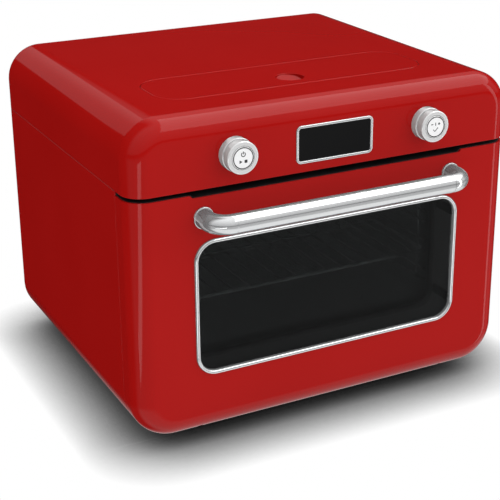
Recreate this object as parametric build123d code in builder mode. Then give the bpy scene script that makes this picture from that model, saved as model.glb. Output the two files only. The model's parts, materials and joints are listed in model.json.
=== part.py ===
"""Countertop steam oven with a drop-down door, two ring knobs and a lift-out water tank.

Millimetres. The front faces -Y, +X is to the right as the user sees it and +Z is up.
The origin lies under the middle of the whole oven, handle included, at the feet's underside.
"""
import os
from math import atan2, degrees, hypot

from build123d import *

# Whole body
BODY_WIDTH = 490.0
BODY_DEPTH = 417.0
BODY_HEIGHT = 375.0
FOOT_HEIGHT = 15.0
TOP_CORNER_R = 43.0
BOTTOM_CORNER_R = 49.0
FRONT_EDGE_R = 25.0
REAR_EDGE_R = 12.0
HOUSING_LEVEL = 294.0
SHELL_WALL = 2.0
LIP_R = 1.5
SEAM = 0.4
RUNNING_GAP = 0.05
BODY_GAP = 0.3

# Door
DOOR_DEPTH = 39.3
DOOR_LEVEL = 289.0
DOOR_SEAM = 1.0
VENT_RECESS = 3.3
VENT_HALF = 172.0
LINER_SETBACK = 2.1
PANEL_SHEET = 1.2
WINDOW_HALF_W = 172.4
WINDOW_LOW = 73.0
WINDOW_HIGH = 236.0
WINDOW_R = 25.0
TRIM_WIDTH = 4.5
TRIM_PROUD = 3.0
TRIM_SEAT = 3.0
TRIM_ROUND = 1.9
GLASS_SETBACK = 2.2
OUTER_GLASS = 4.0
INNER_GLASS = 4.0
GLASS_OVERLAP = 6.0
VIEW_HALF_W = 158.0
VIEW_LOW = 84.0
VIEW_HIGH = 226.0
VIEW_R = 14.0
POST_R = 3.0

# Door hinge
HINGE_SETBACK = 17.0
HINGE_LEVEL = 9.0
HINGE_X = 165.0
HINGE_PIN_R = 2.5
HINGE_ARM = 3.0
HINGE_EYE_R = 5.0
HINGE_SIDE_GAP = 0.5
HINGE_EAR = 3.0
HINGE_ARM_REAR = 90.0
HINGE_LEG_TOP = 46.0
ARM_SLOT_TOP = 18.0
SLOT_END = 2.0

# Handle
HANDLE_REACH = 43.0
HANDLE_R = 11.0
HANDLE_WALL = 2.0
HANDLE_LEVEL = 262.0
HANDLE_FOOT_X = 160.0
HANDLE_BEND_R = 20.0
HANDLE_FOOT_H = 24.0
HANDLE_FOOT_DEPTH = 3.0
HANDLE_SCREW_R = 2.5
HANDLE_SCREW_DEPTH = 12.0

# Knobs and their push buttons
KNOB_X = 122.0
KNOB_LEVEL = 329.0
COLLAR_R = 19.0
COLLAR_PROUD = 9.0
COLLAR_THREAD_R = 14.0
COLLAR_THREAD = 4.5
KNOB_R = 18.4
KNOB_FACE = 20.5
KNOB_NECK_R = 16.4
KNOB_NECK = 1.2
KNOB_GROOVE = 0.6
KNOB_CHAMFER = 1.8
SLEEVE_R = 9.0
SLEEVE_BORE_R = 6.5
SLEEVE_END = 11.0
BUTTON_R = 12.7
BUTTON_GROOVE = 0.7
BUTTON_THICK = 2.6
BUTTON_EDGE = 0.4
BUTTON_TRAVEL = 1.5
BUTTON_STEM_R = 6.0
ENCODER_R = 13.5
ENCODER_FRONT = 7.0
BOARD_DEPTH = 15.0
BOARD_THICK = 1.6
BOARD_WIDTH = 330.0
BOARD_HEIGHT = 52.0
BOARD_STUD_R = 3.0
SWITCH_R = 3.0
SWITCH_HEIGHT = 2.0
CHIP_SIZE = 10.0
CHIP_PITCH = 60.0
CHIP_HEIGHT = 2.0

# Display
DISPLAY_X = 2.0
DISPLAY_LEVEL = 325.8
DISPLAY_WIDTH = 98.0
DISPLAY_HEIGHT = 43.5
DISPLAY_R = 6.0
DISPLAY_FRAME = 3.0
DISPLAY_PROUD = 1.4
DISPLAY_TUBE = 5.0
DISPLAY_GLASS = 2.0

# Water tank in the top
LID_HALF_W = 172.0
LID_FRONT = 68.5
LID_REAR = 163.5
LID_R = 33.0
LID_THICK = 3.0
LID_SEAM = 0.8
LID_EDGE_R = 0.8
GRIP_SETBACK = 32.5
GRIP_R = 16.5
GRIP_DEPTH = 9.0
GRIP_SHALLOW = 1.6
GRIP_WALL = 1.6
WELL_DEPTH = 54.0
WELL_WALL = 2.0
WELL_FLANGE = 7.0
TANK_SLACK = 1.5
TANK_WALL = 2.0
TANK_EDGE_R = 1.8
DOCK_X = 140.0
DOCK_R = 8.0
DOCK_BORE_R = 4.0
DOCK_DROP = 6.5

# Oven cavity
CAVITY_HALF_W = 183.0
CAVITY_LOW = 62.0
CAVITY_HIGH = 272.0
CAVITY_FRONT = 43.2
CAVITY_REAR = 345.0
CAVITY_R = 12.0
CAVITY_WALL = 1.5
FRAME_SETBACK = 42.0
FRAME_LOW = 18.0
SEAL_GAP = 2.0
SEAL_WIDTH = 8.0
WOOL = 12.0
WOOL_FRONT = 48.0
BAFFLE_FRONT = 318.0
BAFFLE_HALF_W = 150.0
BAFFLE_LOW = 72.0
BAFFLE_HIGH = 254.0
INTAKE_R = 2.5
INTAKE_PITCH = 8.0
INTAKE_RINGS = 5
OUTLET_X = 115.0
OUTLET_PITCH = 14.0
OUTLET_COUNT = 10
OUTLET_LENGTH = 40.0

# Racks and shelf
RAIL_R = 2.0
RAIL_X = 177.0
RAIL_FRONT = 72.0
RAIL_REAR = 306.0
RAIL_FIRST = 96.5
RAIL_PITCH = 38.7
RAIL_PAIR = 14.0
RAIL_LEVELS = 4
UPRIGHT_X = 180.5
UPRIGHT_FRONT = 92.0
UPRIGHT_REAR = 286.0
UPRIGHT_MARGIN = 7.0
STUD_R = 3.2
SHELF_LEVEL = 1
SHELF_FRAME_R = 2.5
SHELF_WIRE_R = 1.4
SHELF_HALF_W = 176.5
SHELF_FRONT = 64.0
SHELF_REAR = 300.0
SHELF_PITCH = 21.0
SHELF_CORNER_R = 12.0

# Fan, heaters and lamp
FAN_LEVEL = 165.0
FAN_R = 58.0
FAN_DISC = 1.2
FAN_BLADE_DEPTH = 16.0
FAN_BLADE_LENGTH = 20.0
FAN_BLADES = 16
FAN_FRONT = 322.0
BLADE_SLANT = 25.0
SHAFT_R = 3.0
MOTOR_R = 30.0
MOTOR_LENGTH = 36.0
HEATER_R = 3.3
RING_R = 72.0
GRILL_DROP = 11.0
GRILL_HALF_W = 140.0
GRILL_FRONT = 70.0
GRILL_REAR = 300.0
GRILL_RUNS = 6
GRILL_TURN = 0.45
TERMINAL_TAIL = 8.0
LAMP_DEPTH = 230.0
LAMP_LEVEL = 243.0
LAMP_R = 15.0
LAMP_CAN = 30.0
PROBE_R = 2.5
PROBE_LENGTH = 55.0
PROBE_DEPTH = 120.0
PROBE_LEVEL = 252.0

# Steam system
BOILER_X = -120.0
BOILER_DEPTH = 300.0
BOILER_SIZE = (110.0, 70.0, 36.0)
BOILER_RIM = 4.0
PUMP_X = 135.0
PUMP_DEPTH = 300.0
PUMP_SIZE = (64.0, 40.0, 34.0)
HOSE_SIDE = 22.0
HOSE_R = 4.0
HOSE_BORE_R = 2.4
PIPE_R = 5.0
PIPE_X = 220.0
NOZZLE_DEPTH = 200.0
NOZZLE_LEVEL = 245.0
NOZZLE_R = 9.0
NOZZLE_PROUD = 3.5
BEND_R = 16.0

# Blower and air duct
BLOWER_DEPTH = 285.0
BLOWER_HALF = 72.0
BLOWER_HEIGHT = 42.0
BLOWER_WALL = 1.6
WHEEL_R = 58.0
WHEEL_HEIGHT = 30.0
WHEEL_LIFT = 4.0
WHEEL_BLADE = 12.0
AIR_SLOT = 5.0
WHEEL_BLADES = 28
BLOWER_INLET_R = 42.0
BLOWER_MOTOR_R = 22.0
DECK = 1.5
DUCT_HALF_W = 120.0
DUCT_HEIGHT = 7.6
DUCT_WALL = 1.0

# Back, base, feet and electrics
REAR_MARGIN = 30.0
REAR_RIM = 9.0
VENT_LENGTH = 16.0
VENT_WIDTH = 4.0
VENT_PITCH_X = 22.0
VENT_PITCH_Z = 11.0
UPPER_VENTS = (14, 2)
UPPER_VENT_RISE = 30.0
LOWER_VENTS = (6, 4)
REAR_CORNER_R = 20.0
REAR_SCREW_R = 2.0
REAR_SCREW_HEAD = 1.4
REAR_SCREW_LENGTH = 8.0
REAR_SCREW_X = 110.0
REAR_SCREW_Z = 120.0
BASE_SHEET = 1.5
BASE_HALF_W = 185.0
BASE_FRONT = 46.0
LEG_X = 60.0
LEG_SIZE = 18.0
LEG_FRONT = 80.0
LEG_LENGTH = 180.0
FOOT_X = 168.0
FOOT_INSET = 62.0
FOOT_R = 16.0
FOOT_SOLE_R = 13.0
INLET_X = 130.0
INLET_LEVEL = 70.0
INLET_WIDTH = 34.0
INLET_HEIGHT = 27.0
INLET_RIM = 4.0
INLET_WALL = 2.0
INLET_BODY = 26.0
INLET_RECESS = 16.0
INLET_BLADE = (2.0, 4.0)
INLET_PITCH = 7.0
POWER_BOARD_X = -165.0
POWER_BOARD_DEPTH = 290.0
POWER_BOARD_SIZE = (110.0, 170.0)
POWER_BOARD_LIFT = 6.0
POWER_BLOCK = 36.0
DOOR_SWITCH_SIZE = (14.0, 20.0, 28.0)
DOOR_SWITCH_X = 205.0
DOOR_SWITCH_LEVEL = 240.0

# Worked out from the sizes above
FRONT = (HANDLE_REACH - BODY_DEPTH - REAR_SCREW_HEAD) / 2
BACK = FRONT + BODY_DEPTH
BASE = FOOT_HEIGHT
TOP = BASE + BODY_HEIGHT
HOUSING_Z = BASE + HOUSING_LEVEL
DOOR_TOP = BASE + DOOR_LEVEL
DOOR_BACK = FRONT + DOOR_DEPTH
CASING_FRONT = DOOR_BACK + DOOR_SEAM
LINER_BACK = DOOR_BACK - LINER_SETBACK
LINER_FRONT = LINER_BACK - PANEL_SHEET
HINGE_Y = FRONT + HINGE_SETBACK
HINGE_Z = BASE + HINGE_LEVEL
DOOR_SWEEP_R = hypot(DOOR_DEPTH - HINGE_SETBACK, HINGE_LEVEL)
WINDOW_MID = BASE + (WINDOW_LOW + WINDOW_HIGH) / 2
WINDOW_W = 2 * WINDOW_HALF_W
WINDOW_H = WINDOW_HIGH - WINDOW_LOW
HANDLE_Y = FRONT - HANDLE_REACH + HANDLE_R
HANDLE_Z = BASE + HANDLE_LEVEL
BAR_END = HANDLE_FOOT_X - HANDLE_BEND_R
KNOB_Z = BASE + KNOB_LEVEL
DISPLAY_Z = BASE + DISPLAY_LEVEL
LID_MID = FRONT + (LID_FRONT + LID_REAR) / 2
LID_DEPTH = LID_REAR - LID_FRONT
WELL_TOP = TOP - SHELL_WALL
WELL_BOTTOM = WELL_TOP - WELL_DEPTH
TANK_TOP = TOP - LID_THICK - BODY_GAP
TANK_BOTTOM = WELL_BOTTOM + WELL_WALL + BODY_GAP
CAVITY_MID = BASE + (CAVITY_LOW + CAVITY_HIGH) / 2
CAVITY_H = CAVITY_HIGH - CAVITY_LOW
CAVITY_W = 2 * CAVITY_HALF_W
CAVITY_DEPTH = CAVITY_REAR - CAVITY_FRONT
FRAME_Y = FRONT + FRAME_SETBACK
SHELF_Z = BASE + RAIL_FIRST + SHELF_LEVEL * RAIL_PITCH + RAIL_R + SHELF_FRAME_R
FAN_Z = BASE + FAN_LEVEL
FLOOR_Z = BASE + SHELL_WALL + BASE_SHEET
DECK_TOP = HOUSING_Z + DECK
SCREW_X = BODY_WIDTH / 2 - REAR_MARGIN + REAR_RIM / 2
SCREW_Z = BODY_HEIGHT / 2 - REAR_MARGIN + REAR_RIM / 2


def upright(depth: float) -> Plane:
    """A plane facing the user, at this depth behind the body's front face."""
    return Plane.XZ.offset(-(FRONT + depth))


def level(height: float) -> Plane:
    """A level plane at this height above the body's underside."""
    return Plane.XY.offset(BASE + height)


def body_outline(inset: float) -> Sketch:
    """The body's front outline, made smaller by the inset all round."""
    with BuildSketch() as outline:
        with Locations((0, BASE + BODY_HEIGHT / 2)):
            Rectangle(BODY_WIDTH - 2 * inset, BODY_HEIGHT - 2 * inset)
        fillet(outline.vertices().group_by(Axis.Y)[0], radius=BOTTOM_CORNER_R - inset)
        fillet(outline.vertices().group_by(Axis.Y)[-1], radius=TOP_CORNER_R - inset)
    return outline.sketch


def body_form(inset: float) -> Part:
    """The whole rounded body, made smaller by the inset on every side."""
    outline = body_outline(inset)
    with BuildPart() as form:
        with BuildSketch(upright(inset)):
            add(outline)
        extrude(amount=-(BODY_DEPTH - 2 * inset))
        fillet(form.faces().sort_by(Axis.Y)[0].edges(), radius=FRONT_EDGE_R - inset)
        fillet(form.faces().sort_by(Axis.Y)[-1].edges(), radius=REAR_EDGE_R - inset)
    return form.part


def rear_screw_circles(radius: float) -> Sketch:
    """Circles at the eight screws of the rear rim."""
    with BuildSketch() as circles:
        with Locations((0, BASE + BODY_HEIGHT / 2)):
            with GridLocations(2 * SCREW_X, 2 * REAR_SCREW_Z, 2, 2):
                Circle(radius)
            with GridLocations(2 * REAR_SCREW_X, 2 * SCREW_Z, 2, 2):
                Circle(radius)
    return circles.sketch


def tube_along(points: list, radii: list, radius: float, bore: float = 0.0) -> Part:
    """A round tube or rod along straight runs joined by arcs."""
    with BuildPart() as tube:
        with BuildLine() as route:
            if radii:
                FilletPolyline(*points, radius=radii)
            else:
                Polyline(*points)
        start = Plane(origin=route.line @ 0, z_dir=route.line % 0)
        with BuildSketch(start):
            Circle(radius)
            if bore:
                Circle(bore, mode=Mode.SUBTRACT)
        sweep(path=route.line)
    return tube.part


def keep(piece: BuildPart, name: str) -> None:
    """Label one finished piece and write it to its own file."""
    piece.part.label = name
    export_step(piece.part, f"parts/{name}.step")


os.makedirs("parts", exist_ok=True)
outer_form = body_form(0)
core_form = body_form(SHELL_WALL)
screw_holes = rear_screw_circles(REAR_SCREW_R)
with BuildSketch() as rear_window:
    with Locations((0, BASE + BODY_HEIGHT / 2)):
        RectangleRounded(BODY_WIDTH - 2 * REAR_MARGIN, BODY_HEIGHT - 2 * REAR_MARGIN, REAR_CORNER_R)

# Upper housing: the pressed hood with the control front, open below and behind
with BuildPart() as upper_housing:
    add(outer_form)
    split(bisect_by=Plane.XY.offset(HOUSING_Z), keep=Keep.TOP)
    fillet(upper_housing.faces().sort_by(Axis.Z)[0].edges(), radius=LIP_R)
    add(core_form, mode=Mode.SUBTRACT)
    with BuildSketch(Plane.XZ.offset(-BACK)):
        add(rear_window.sketch)
        add(screw_holes)
    extrude(amount=2 * SHELL_WALL, both=True, mode=Mode.SUBTRACT)
    with BuildSketch(Plane.XZ.offset(-FRONT)):
        with Locations((-KNOB_X, KNOB_Z), (KNOB_X, KNOB_Z)):
            Circle(COLLAR_THREAD_R)
        with Locations((DISPLAY_X, DISPLAY_Z)):
            RectangleRounded(
                DISPLAY_WIDTH - DISPLAY_FRAME, DISPLAY_HEIGHT - DISPLAY_FRAME, DISPLAY_R - DISPLAY_FRAME / 2
            )
    extrude(amount=2 * SHELL_WALL, both=True, mode=Mode.SUBTRACT)
    with BuildSketch(Plane.XY.offset(TOP)):
        with Locations((0, LID_MID)):
            RectangleRounded(
                2 * (LID_HALF_W + LID_SEAM), LID_DEPTH + 2 * LID_SEAM, LID_R + LID_SEAM
            )
    extrude(amount=-2 * SHELL_WALL, mode=Mode.SUBTRACT)
    with BuildSketch(upright(SHELL_WALL)):
        with Locations((0, KNOB_Z)):
            with GridLocations(BOARD_WIDTH - 4 * BOARD_STUD_R, BOARD_HEIGHT - 4 * BOARD_STUD_R, 2, 2):
                Circle(BOARD_STUD_R)
    extrude(amount=-(BOARD_DEPTH - SHELL_WALL))
keep(upper_housing, "upper_housing")

# Lower casing: one wrap round the bottom and both sides, with the rolled rear edge
with BuildPart() as lower_casing:
    add(outer_form)
    split(bisect_by=Plane.XY.offset(HOUSING_Z - SEAM), keep=Keep.BOTTOM)
    split(bisect_by=Plane.XZ.offset(-CASING_FRONT), keep=Keep.BOTTOM)
    add(core_form, mode=Mode.SUBTRACT)
    with BuildSketch(Plane.XZ.offset(-BACK)):
        add(rear_window.sketch)
        add(screw_holes)
    extrude(amount=2 * SHELL_WALL, both=True, mode=Mode.SUBTRACT)
    with BuildSketch(Plane.YZ.offset(-BODY_WIDTH / 2)):
        with Locations((HINGE_Y, HINGE_Z)):
            Circle(DOOR_SWEEP_R + BODY_GAP)
    extrude(amount=BODY_WIDTH, mode=Mode.SUBTRACT)
keep(lower_casing, "lower_casing")

# Rear panel: a flat sheet behind the rear rim, with vents, an inlet hole and a screw rim
PANEL_Y = BACK - SHELL_WALL
PANEL_W = BODY_WIDTH - 2 * (REAR_MARGIN - REAR_RIM)
PANEL_H = BODY_HEIGHT - 2 * (REAR_MARGIN - REAR_RIM)
INLET_Z = BASE + INLET_LEVEL
with BuildPart() as rear_panel:
    with BuildSketch(Plane.XZ.offset(-PANEL_Y)):
        with Locations((0, BASE + BODY_HEIGHT / 2)):
            RectangleRounded(PANEL_W, PANEL_H, REAR_CORNER_R)
        with Locations((INLET_X, INLET_Z)):
            Rectangle(INLET_WIDTH - INLET_RIM, INLET_HEIGHT - INLET_RIM, mode=Mode.SUBTRACT)
        add(screw_holes, mode=Mode.SUBTRACT)
        with Locations((0, HOUSING_Z + UPPER_VENT_RISE)):
            with GridLocations(VENT_PITCH_X, VENT_PITCH_Z, *UPPER_VENTS):
                SlotOverall(VENT_LENGTH, VENT_WIDTH, mode=Mode.SUBTRACT)
        with Locations((0, FAN_Z)):
            with GridLocations(VENT_PITCH_X, VENT_PITCH_Z, *LOWER_VENTS):
                SlotOverall(VENT_LENGTH, VENT_WIDTH, mode=Mode.SUBTRACT)
    extrude(amount=PANEL_SHEET)
keep(rear_panel, "rear_panel")

# Rear screws: round heads on the rear rim, shanks into the panel
with BuildPart() as rear_screws:
    with BuildSketch(Plane.XZ.offset(-BACK)):
        add(rear_screw_circles(2 * REAR_SCREW_R))
    extrude(amount=-REAR_SCREW_HEAD)
    with BuildSketch(Plane.XZ.offset(-BACK)):
        add(screw_holes)
    extrude(amount=REAR_SCREW_LENGTH)
keep(rear_screws, "rear_screws")

# Door skin: the front of the body as one pressed pan, open behind
RECESS_Z = DOOR_TOP - VENT_RECESS
SLOT_W = HINGE_ARM + 4 * HINGE_SIDE_GAP
with BuildPart() as door_core:
    add(core_form)
    split(bisect_by=Plane.XY.offset(RECESS_Z - SHELL_WALL), keep=Keep.BOTTOM)
with BuildPart() as door_skin:
    add(outer_form)
    split(bisect_by=Plane.XY.offset(DOOR_TOP), keep=Keep.BOTTOM)
    split(bisect_by=Plane.XZ.offset(-DOOR_BACK), keep=Keep.TOP)
    with BuildSketch(Plane.XZ.offset(-DOOR_BACK)):
        with BuildLine():
            Polyline(
                (-VENT_HALF - VENT_RECESS, DOOR_TOP),
                (-VENT_HALF, RECESS_Z),
                (VENT_HALF, RECESS_Z),
                (VENT_HALF + VENT_RECESS, DOOR_TOP),
                close=True,
            )
        make_face()
    extrude(amount=2 * DOOR_DEPTH, mode=Mode.SUBTRACT)
    top_faces = door_skin.faces().filter_by(Axis.Z).filter_by(lambda f: f.center().Z > RECESS_Z - 1)
    top_edges = top_faces.edges().filter_by(lambda e: e.center().Y < DOOR_BACK - 0.1)
    fillet(top_edges.filter_by(lambda e: e.center().Y < FRONT + 0.1), radius=LIP_R)
    add(door_core.part, mode=Mode.SUBTRACT)
    with BuildSketch(Plane.XZ.offset(-FRONT)):
        with Locations((0, WINDOW_MID)):
            RectangleRounded(WINDOW_W - TRIM_SEAT, WINDOW_H - TRIM_SEAT, WINDOW_R - TRIM_SEAT / 2)
        with Locations((-HANDLE_FOOT_X, HANDLE_Z), (HANDLE_FOOT_X, HANDLE_Z)):
            Circle(HANDLE_SCREW_R)
    extrude(amount=-2 * SHELL_WALL, mode=Mode.SUBTRACT)
    with BuildSketch(Plane.XY.offset(BASE)):
        with Locations((-HINGE_X, DOOR_BACK), (HINGE_X, DOOR_BACK)):
            Rectangle(SLOT_W, 2 * (DOOR_DEPTH - HINGE_SETBACK + HINGE_EYE_R + SLOT_END))
    extrude(amount=HINGE_LEVEL - SLOT_END, both=True, mode=Mode.SUBTRACT)
keep(door_skin, "door_skin")

# Window trim: a half-round bead on the face with a tube that passes through the skin
CLEAR_W = WINDOW_W - 2 * TRIM_WIDTH
CLEAR_H = WINDOW_H - 2 * TRIM_WIDTH
with BuildPart() as window_trim:
    with BuildSketch(Plane.XZ.offset(-FRONT)):
        with Locations((0, WINDOW_MID)):
            RectangleRounded(WINDOW_W, WINDOW_H, WINDOW_R)
            RectangleRounded(CLEAR_W, CLEAR_H, WINDOW_R - TRIM_WIDTH, mode=Mode.SUBTRACT)
    extrude(amount=TRIM_PROUD)
    fillet(window_trim.faces().sort_by(Axis.Y)[0].edges(), radius=TRIM_ROUND)
    with BuildSketch(Plane.XZ.offset(-FRONT)):
        with Locations((0, WINDOW_MID)):
            RectangleRounded(WINDOW_W - TRIM_SEAT, WINDOW_H - TRIM_SEAT, WINDOW_R - TRIM_SEAT / 2)
            RectangleRounded(CLEAR_W, CLEAR_H, WINDOW_R - TRIM_WIDTH, mode=Mode.SUBTRACT)
    extrude(amount=-GLASS_SETBACK)
keep(window_trim, "window_trim")

# Outer door glass, behind the skin and against the trim
OUTER_W = WINDOW_W + 2 * GLASS_OVERLAP
OUTER_H = WINDOW_H + 2 * GLASS_OVERLAP
with BuildPart() as outer_glass:
    with BuildSketch(upright(GLASS_SETBACK)):
        with Locations((0, WINDOW_MID)):
            RectangleRounded(OUTER_W, OUTER_H, WINDOW_R + GLASS_OVERLAP)
    extrude(amount=-OUTER_GLASS)
keep(outer_glass, "outer_glass")

# Door liner: the flat inner panel that closes the pan and carries the inner glass
VIEW_MID = BASE + (VIEW_LOW + VIEW_HIGH) / 2
VIEW_W = 2 * VIEW_HALF_W
VIEW_H = VIEW_HIGH - VIEW_LOW
LINER_TOP = RECESS_Z - SHELL_WALL
skin_inner_outline = body_outline(SHELL_WALL)
with BuildPart() as door_liner:
    with BuildSketch(Plane.XZ.offset(-LINER_FRONT)):
        add(skin_inner_outline)
        with Locations((0, VIEW_MID)):
            RectangleRounded(VIEW_W, VIEW_H, VIEW_R, mode=Mode.SUBTRACT)
        with Locations((-HINGE_X, BASE), (HINGE_X, BASE)):
            Rectangle(SLOT_W, 2 * ARM_SLOT_TOP, mode=Mode.SUBTRACT)
    extrude(amount=-PANEL_SHEET)
    split(bisect_by=Plane.XY.offset(LINER_TOP), keep=Keep.BOTTOM)
keep(door_liner, "door_liner")

with BuildPart() as inner_glass:
    with BuildSketch(Plane.XZ.offset(-(LINER_FRONT - INNER_GLASS))):
        with Locations((0, VIEW_MID)):
            RectangleRounded(VIEW_W + 2 * GLASS_OVERLAP, VIEW_H + 2 * GLASS_OVERLAP, VIEW_R + GLASS_OVERLAP)
    extrude(amount=-INNER_GLASS)
keep(inner_glass, "inner_glass")

# Glass posts: spacers from the liner that press the outer glass into the skin
POST_X = (VIEW_HALF_W + GLASS_OVERLAP + WINDOW_HALF_W + GLASS_OVERLAP) / 2
with BuildPart() as glass_posts:
    with BuildSketch(upright(GLASS_SETBACK + OUTER_GLASS)):
        with Locations((0, WINDOW_MID)):
            with GridLocations(2 * POST_X, WINDOW_H - 2 * WINDOW_R, 2, 2):
                SlotOverall(4 * POST_R, 2 * POST_R, rotation=90)
    extrude(amount=-(LINER_FRONT - FRONT - GLASS_SETBACK - OUTER_GLASS))
keep(glass_posts, "glass_posts")

# Handle: a round tube between two elbows that are screwed through the skin
with BuildPart() as handle_bar:
    with BuildSketch(Plane.YZ.offset(-BAR_END)):
        with Locations((HANDLE_Y, HANDLE_Z)):
            Circle(HANDLE_R)
            Circle(HANDLE_R - HANDLE_WALL, mode=Mode.SUBTRACT)
    extrude(amount=2 * BAR_END)
keep(handle_bar, "handle_bar")


def handle_elbow(side: int) -> BuildPart:
    """One elbow: straight out of the door, then a quarter turn to the bar's end."""
    with BuildPart() as elbow:
        with BuildLine(Plane.XY.offset(HANDLE_Z)):
            run = Line((side * HANDLE_FOOT_X, FRONT), (side * HANDLE_FOOT_X, HANDLE_Y + HANDLE_BEND_R))
            JernArc(run @ 1, run % 1, HANDLE_BEND_R, -90 * side)
        with BuildSketch(Plane(origin=run @ 0, z_dir=run % 0)):
            Circle(HANDLE_R)
        sweep()
        with BuildSketch(Plane.XZ.offset(-FRONT)):
            with Locations((side * HANDLE_FOOT_X, HANDLE_Z)):
                RectangleRounded(2 * HANDLE_R, HANDLE_FOOT_H, 0.8 * HANDLE_R)
        extrude(amount=HANDLE_FOOT_DEPTH)
        with BuildSketch(Plane.XZ.offset(-FRONT)):
            with Locations((side * HANDLE_FOOT_X, HANDLE_Z)):
                Circle(HANDLE_SCREW_R)
        extrude(amount=HANDLE_SCREW_DEPTH, mode=Mode.SUBTRACT)
    return elbow


keep(handle_elbow(-1), "handle_bracket_left")
keep(handle_elbow(1), "handle_bracket_right")

with BuildPart() as handle_screws:
    with BuildSketch(upright(SHELL_WALL)):
        with Locations((-HANDLE_FOOT_X, HANDLE_Z), (HANDLE_FOOT_X, HANDLE_Z)):
            Circle(2 * HANDLE_SCREW_R)
    extrude(amount=-HANDLE_SCREW_R)
    with BuildSketch(upright(SHELL_WALL)):
        with Locations((-HANDLE_FOOT_X, HANDLE_Z), (HANDLE_FOOT_X, HANDLE_Z)):
            Circle(HANDLE_SCREW_R)
    extrude(amount=SHELL_WALL + HANDLE_SCREW_DEPTH)
keep(handle_screws, "handle_screws")

# Door hinges: U-shaped leaves in the door turn on pins held by arms on the base
EAR_OFFSET = HINGE_ARM / 2 + HINGE_SIDE_GAP
with BuildPart() as hinge_leaves:
    for hinge_x in (-HINGE_X, HINGE_X):
        for ear_x in (hinge_x - EAR_OFFSET - HINGE_EAR, hinge_x + EAR_OFFSET):
            with BuildSketch(Plane.YZ.offset(ear_x)):
                with Locations((HINGE_Y, HINGE_Z)):
                    Circle(HINGE_EYE_R)
                with BuildLine():
                    Polyline(
                        (HINGE_Y - HINGE_EYE_R, HINGE_Z),
                        (HINGE_Y + HINGE_EYE_R, HINGE_Z),
                        (LINER_FRONT, BASE + ARM_SLOT_TOP + HINGE_EYE_R),
                        (LINER_FRONT, BASE + HINGE_LEG_TOP),
                        close=True,
                    )
                make_face()
                with Locations((HINGE_Y, HINGE_Z)):
                    Circle(HINGE_PIN_R + RUNNING_GAP, mode=Mode.SUBTRACT)
            extrude(amount=HINGE_EAR)
        with BuildSketch(Plane.XZ.offset(-LINER_FRONT)):
            with Locations((hinge_x, BASE + (ARM_SLOT_TOP + HINGE_EYE_R + HINGE_LEG_TOP) / 2)):
                Rectangle(2 * (EAR_OFFSET + HINGE_EAR), HINGE_LEG_TOP - ARM_SLOT_TOP - HINGE_EYE_R)
        extrude(amount=PANEL_SHEET)
keep(hinge_leaves, "hinge_leaves")

with BuildPart() as hinge_arms:
    for hinge_x in (-HINGE_X, HINGE_X):
        with BuildSketch(Plane.YZ.offset(hinge_x - HINGE_ARM / 2)):
            with Locations((HINGE_Y, HINGE_Z)):
                Circle(HINGE_EYE_R)
            with BuildLine():
                Polyline(
                    (HINGE_Y, HINGE_Z - HINGE_EYE_R),
                    (FRONT + BASE_FRONT, HINGE_Z - HINGE_EYE_R),
                    (FRONT + BASE_FRONT, FLOOR_Z),
                    (FRONT + HINGE_ARM_REAR, FLOOR_Z),
                    (FRONT + HINGE_ARM_REAR, HINGE_Z + HINGE_EYE_R),
                    (HINGE_Y, HINGE_Z + HINGE_EYE_R),
                    close=True,
                )
            make_face()
            with Locations((HINGE_Y, HINGE_Z)):
                Circle(HINGE_PIN_R, mode=Mode.SUBTRACT)
        extrude(amount=HINGE_ARM)
        with BuildSketch(Plane.XY.offset(FLOOR_Z)):
            with Locations((hinge_x, FRONT + (BASE_FRONT + HINGE_ARM_REAR) / 2)):
                Rectangle(5 * HINGE_ARM, HINGE_ARM_REAR - BASE_FRONT)
        extrude(amount=BASE_SHEET)
keep(hinge_arms, "hinge_arms")

with BuildPart() as hinge_pins:
    for hinge_x in (-HINGE_X, HINGE_X):
        with BuildSketch(Plane.YZ.offset(hinge_x - EAR_OFFSET - HINGE_EAR)):
            with Locations((HINGE_Y, HINGE_Z)):
                Circle(HINGE_PIN_R)
        extrude(amount=2 * (EAR_OFFSET + HINGE_EAR))
keep(hinge_pins, "hinge_pins")


def turned(x: float, z: float, profile: list) -> Part:
    """A turned piece on the axis through (x, z), from points of radius and depth."""
    with BuildPart() as piece:
        with BuildSketch(Plane(origin=(x, FRONT, z), x_dir=(1, 0, 0), z_dir=(0, 0, 1))):
            with BuildLine():
                Polyline(*profile, close=True)
            make_face()
        revolve(axis=Axis((x, FRONT, z), (0, 1, 0)))
    return piece.part


# Knobs: a fixed collar, a ring that turns on a hollow sleeve and a push button within it
KNOB_BACK = -(COLLAR_PROUD + KNOB_GROOVE)
NECK_FRONT = KNOB_BACK - KNOB_NECK
POCKET = -(KNOB_FACE - BUTTON_THICK - BUTTON_TRAVEL - BODY_GAP)
BUTTON_FACE = -(KNOB_FACE + BODY_GAP)
BUTTON_BACK = BUTTON_FACE + BUTTON_THICK
STEM_END = BOARD_DEPTH - SWITCH_HEIGHT - BUTTON_TRAVEL - BODY_GAP
COLLAR_BORE_R = SLEEVE_R + KNOB_GROOVE
knob_profile = [
    (SLEEVE_BORE_R, SLEEVE_END),
    (SLEEVE_R, SLEEVE_END),
    (SLEEVE_R, KNOB_BACK),
    (KNOB_NECK_R, KNOB_BACK),
    (KNOB_NECK_R, NECK_FRONT),
    (KNOB_R - KNOB_CHAMFER / 3, NECK_FRONT),
    (KNOB_R, NECK_FRONT - KNOB_CHAMFER / 3),
    (KNOB_R, KNOB_CHAMFER - KNOB_FACE),
    (KNOB_R - KNOB_CHAMFER, -KNOB_FACE),
    (BUTTON_R + BUTTON_GROOVE, -KNOB_FACE),
    (BUTTON_R + BUTTON_GROOVE, POCKET),
    (SLEEVE_BORE_R, POCKET),
]
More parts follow.
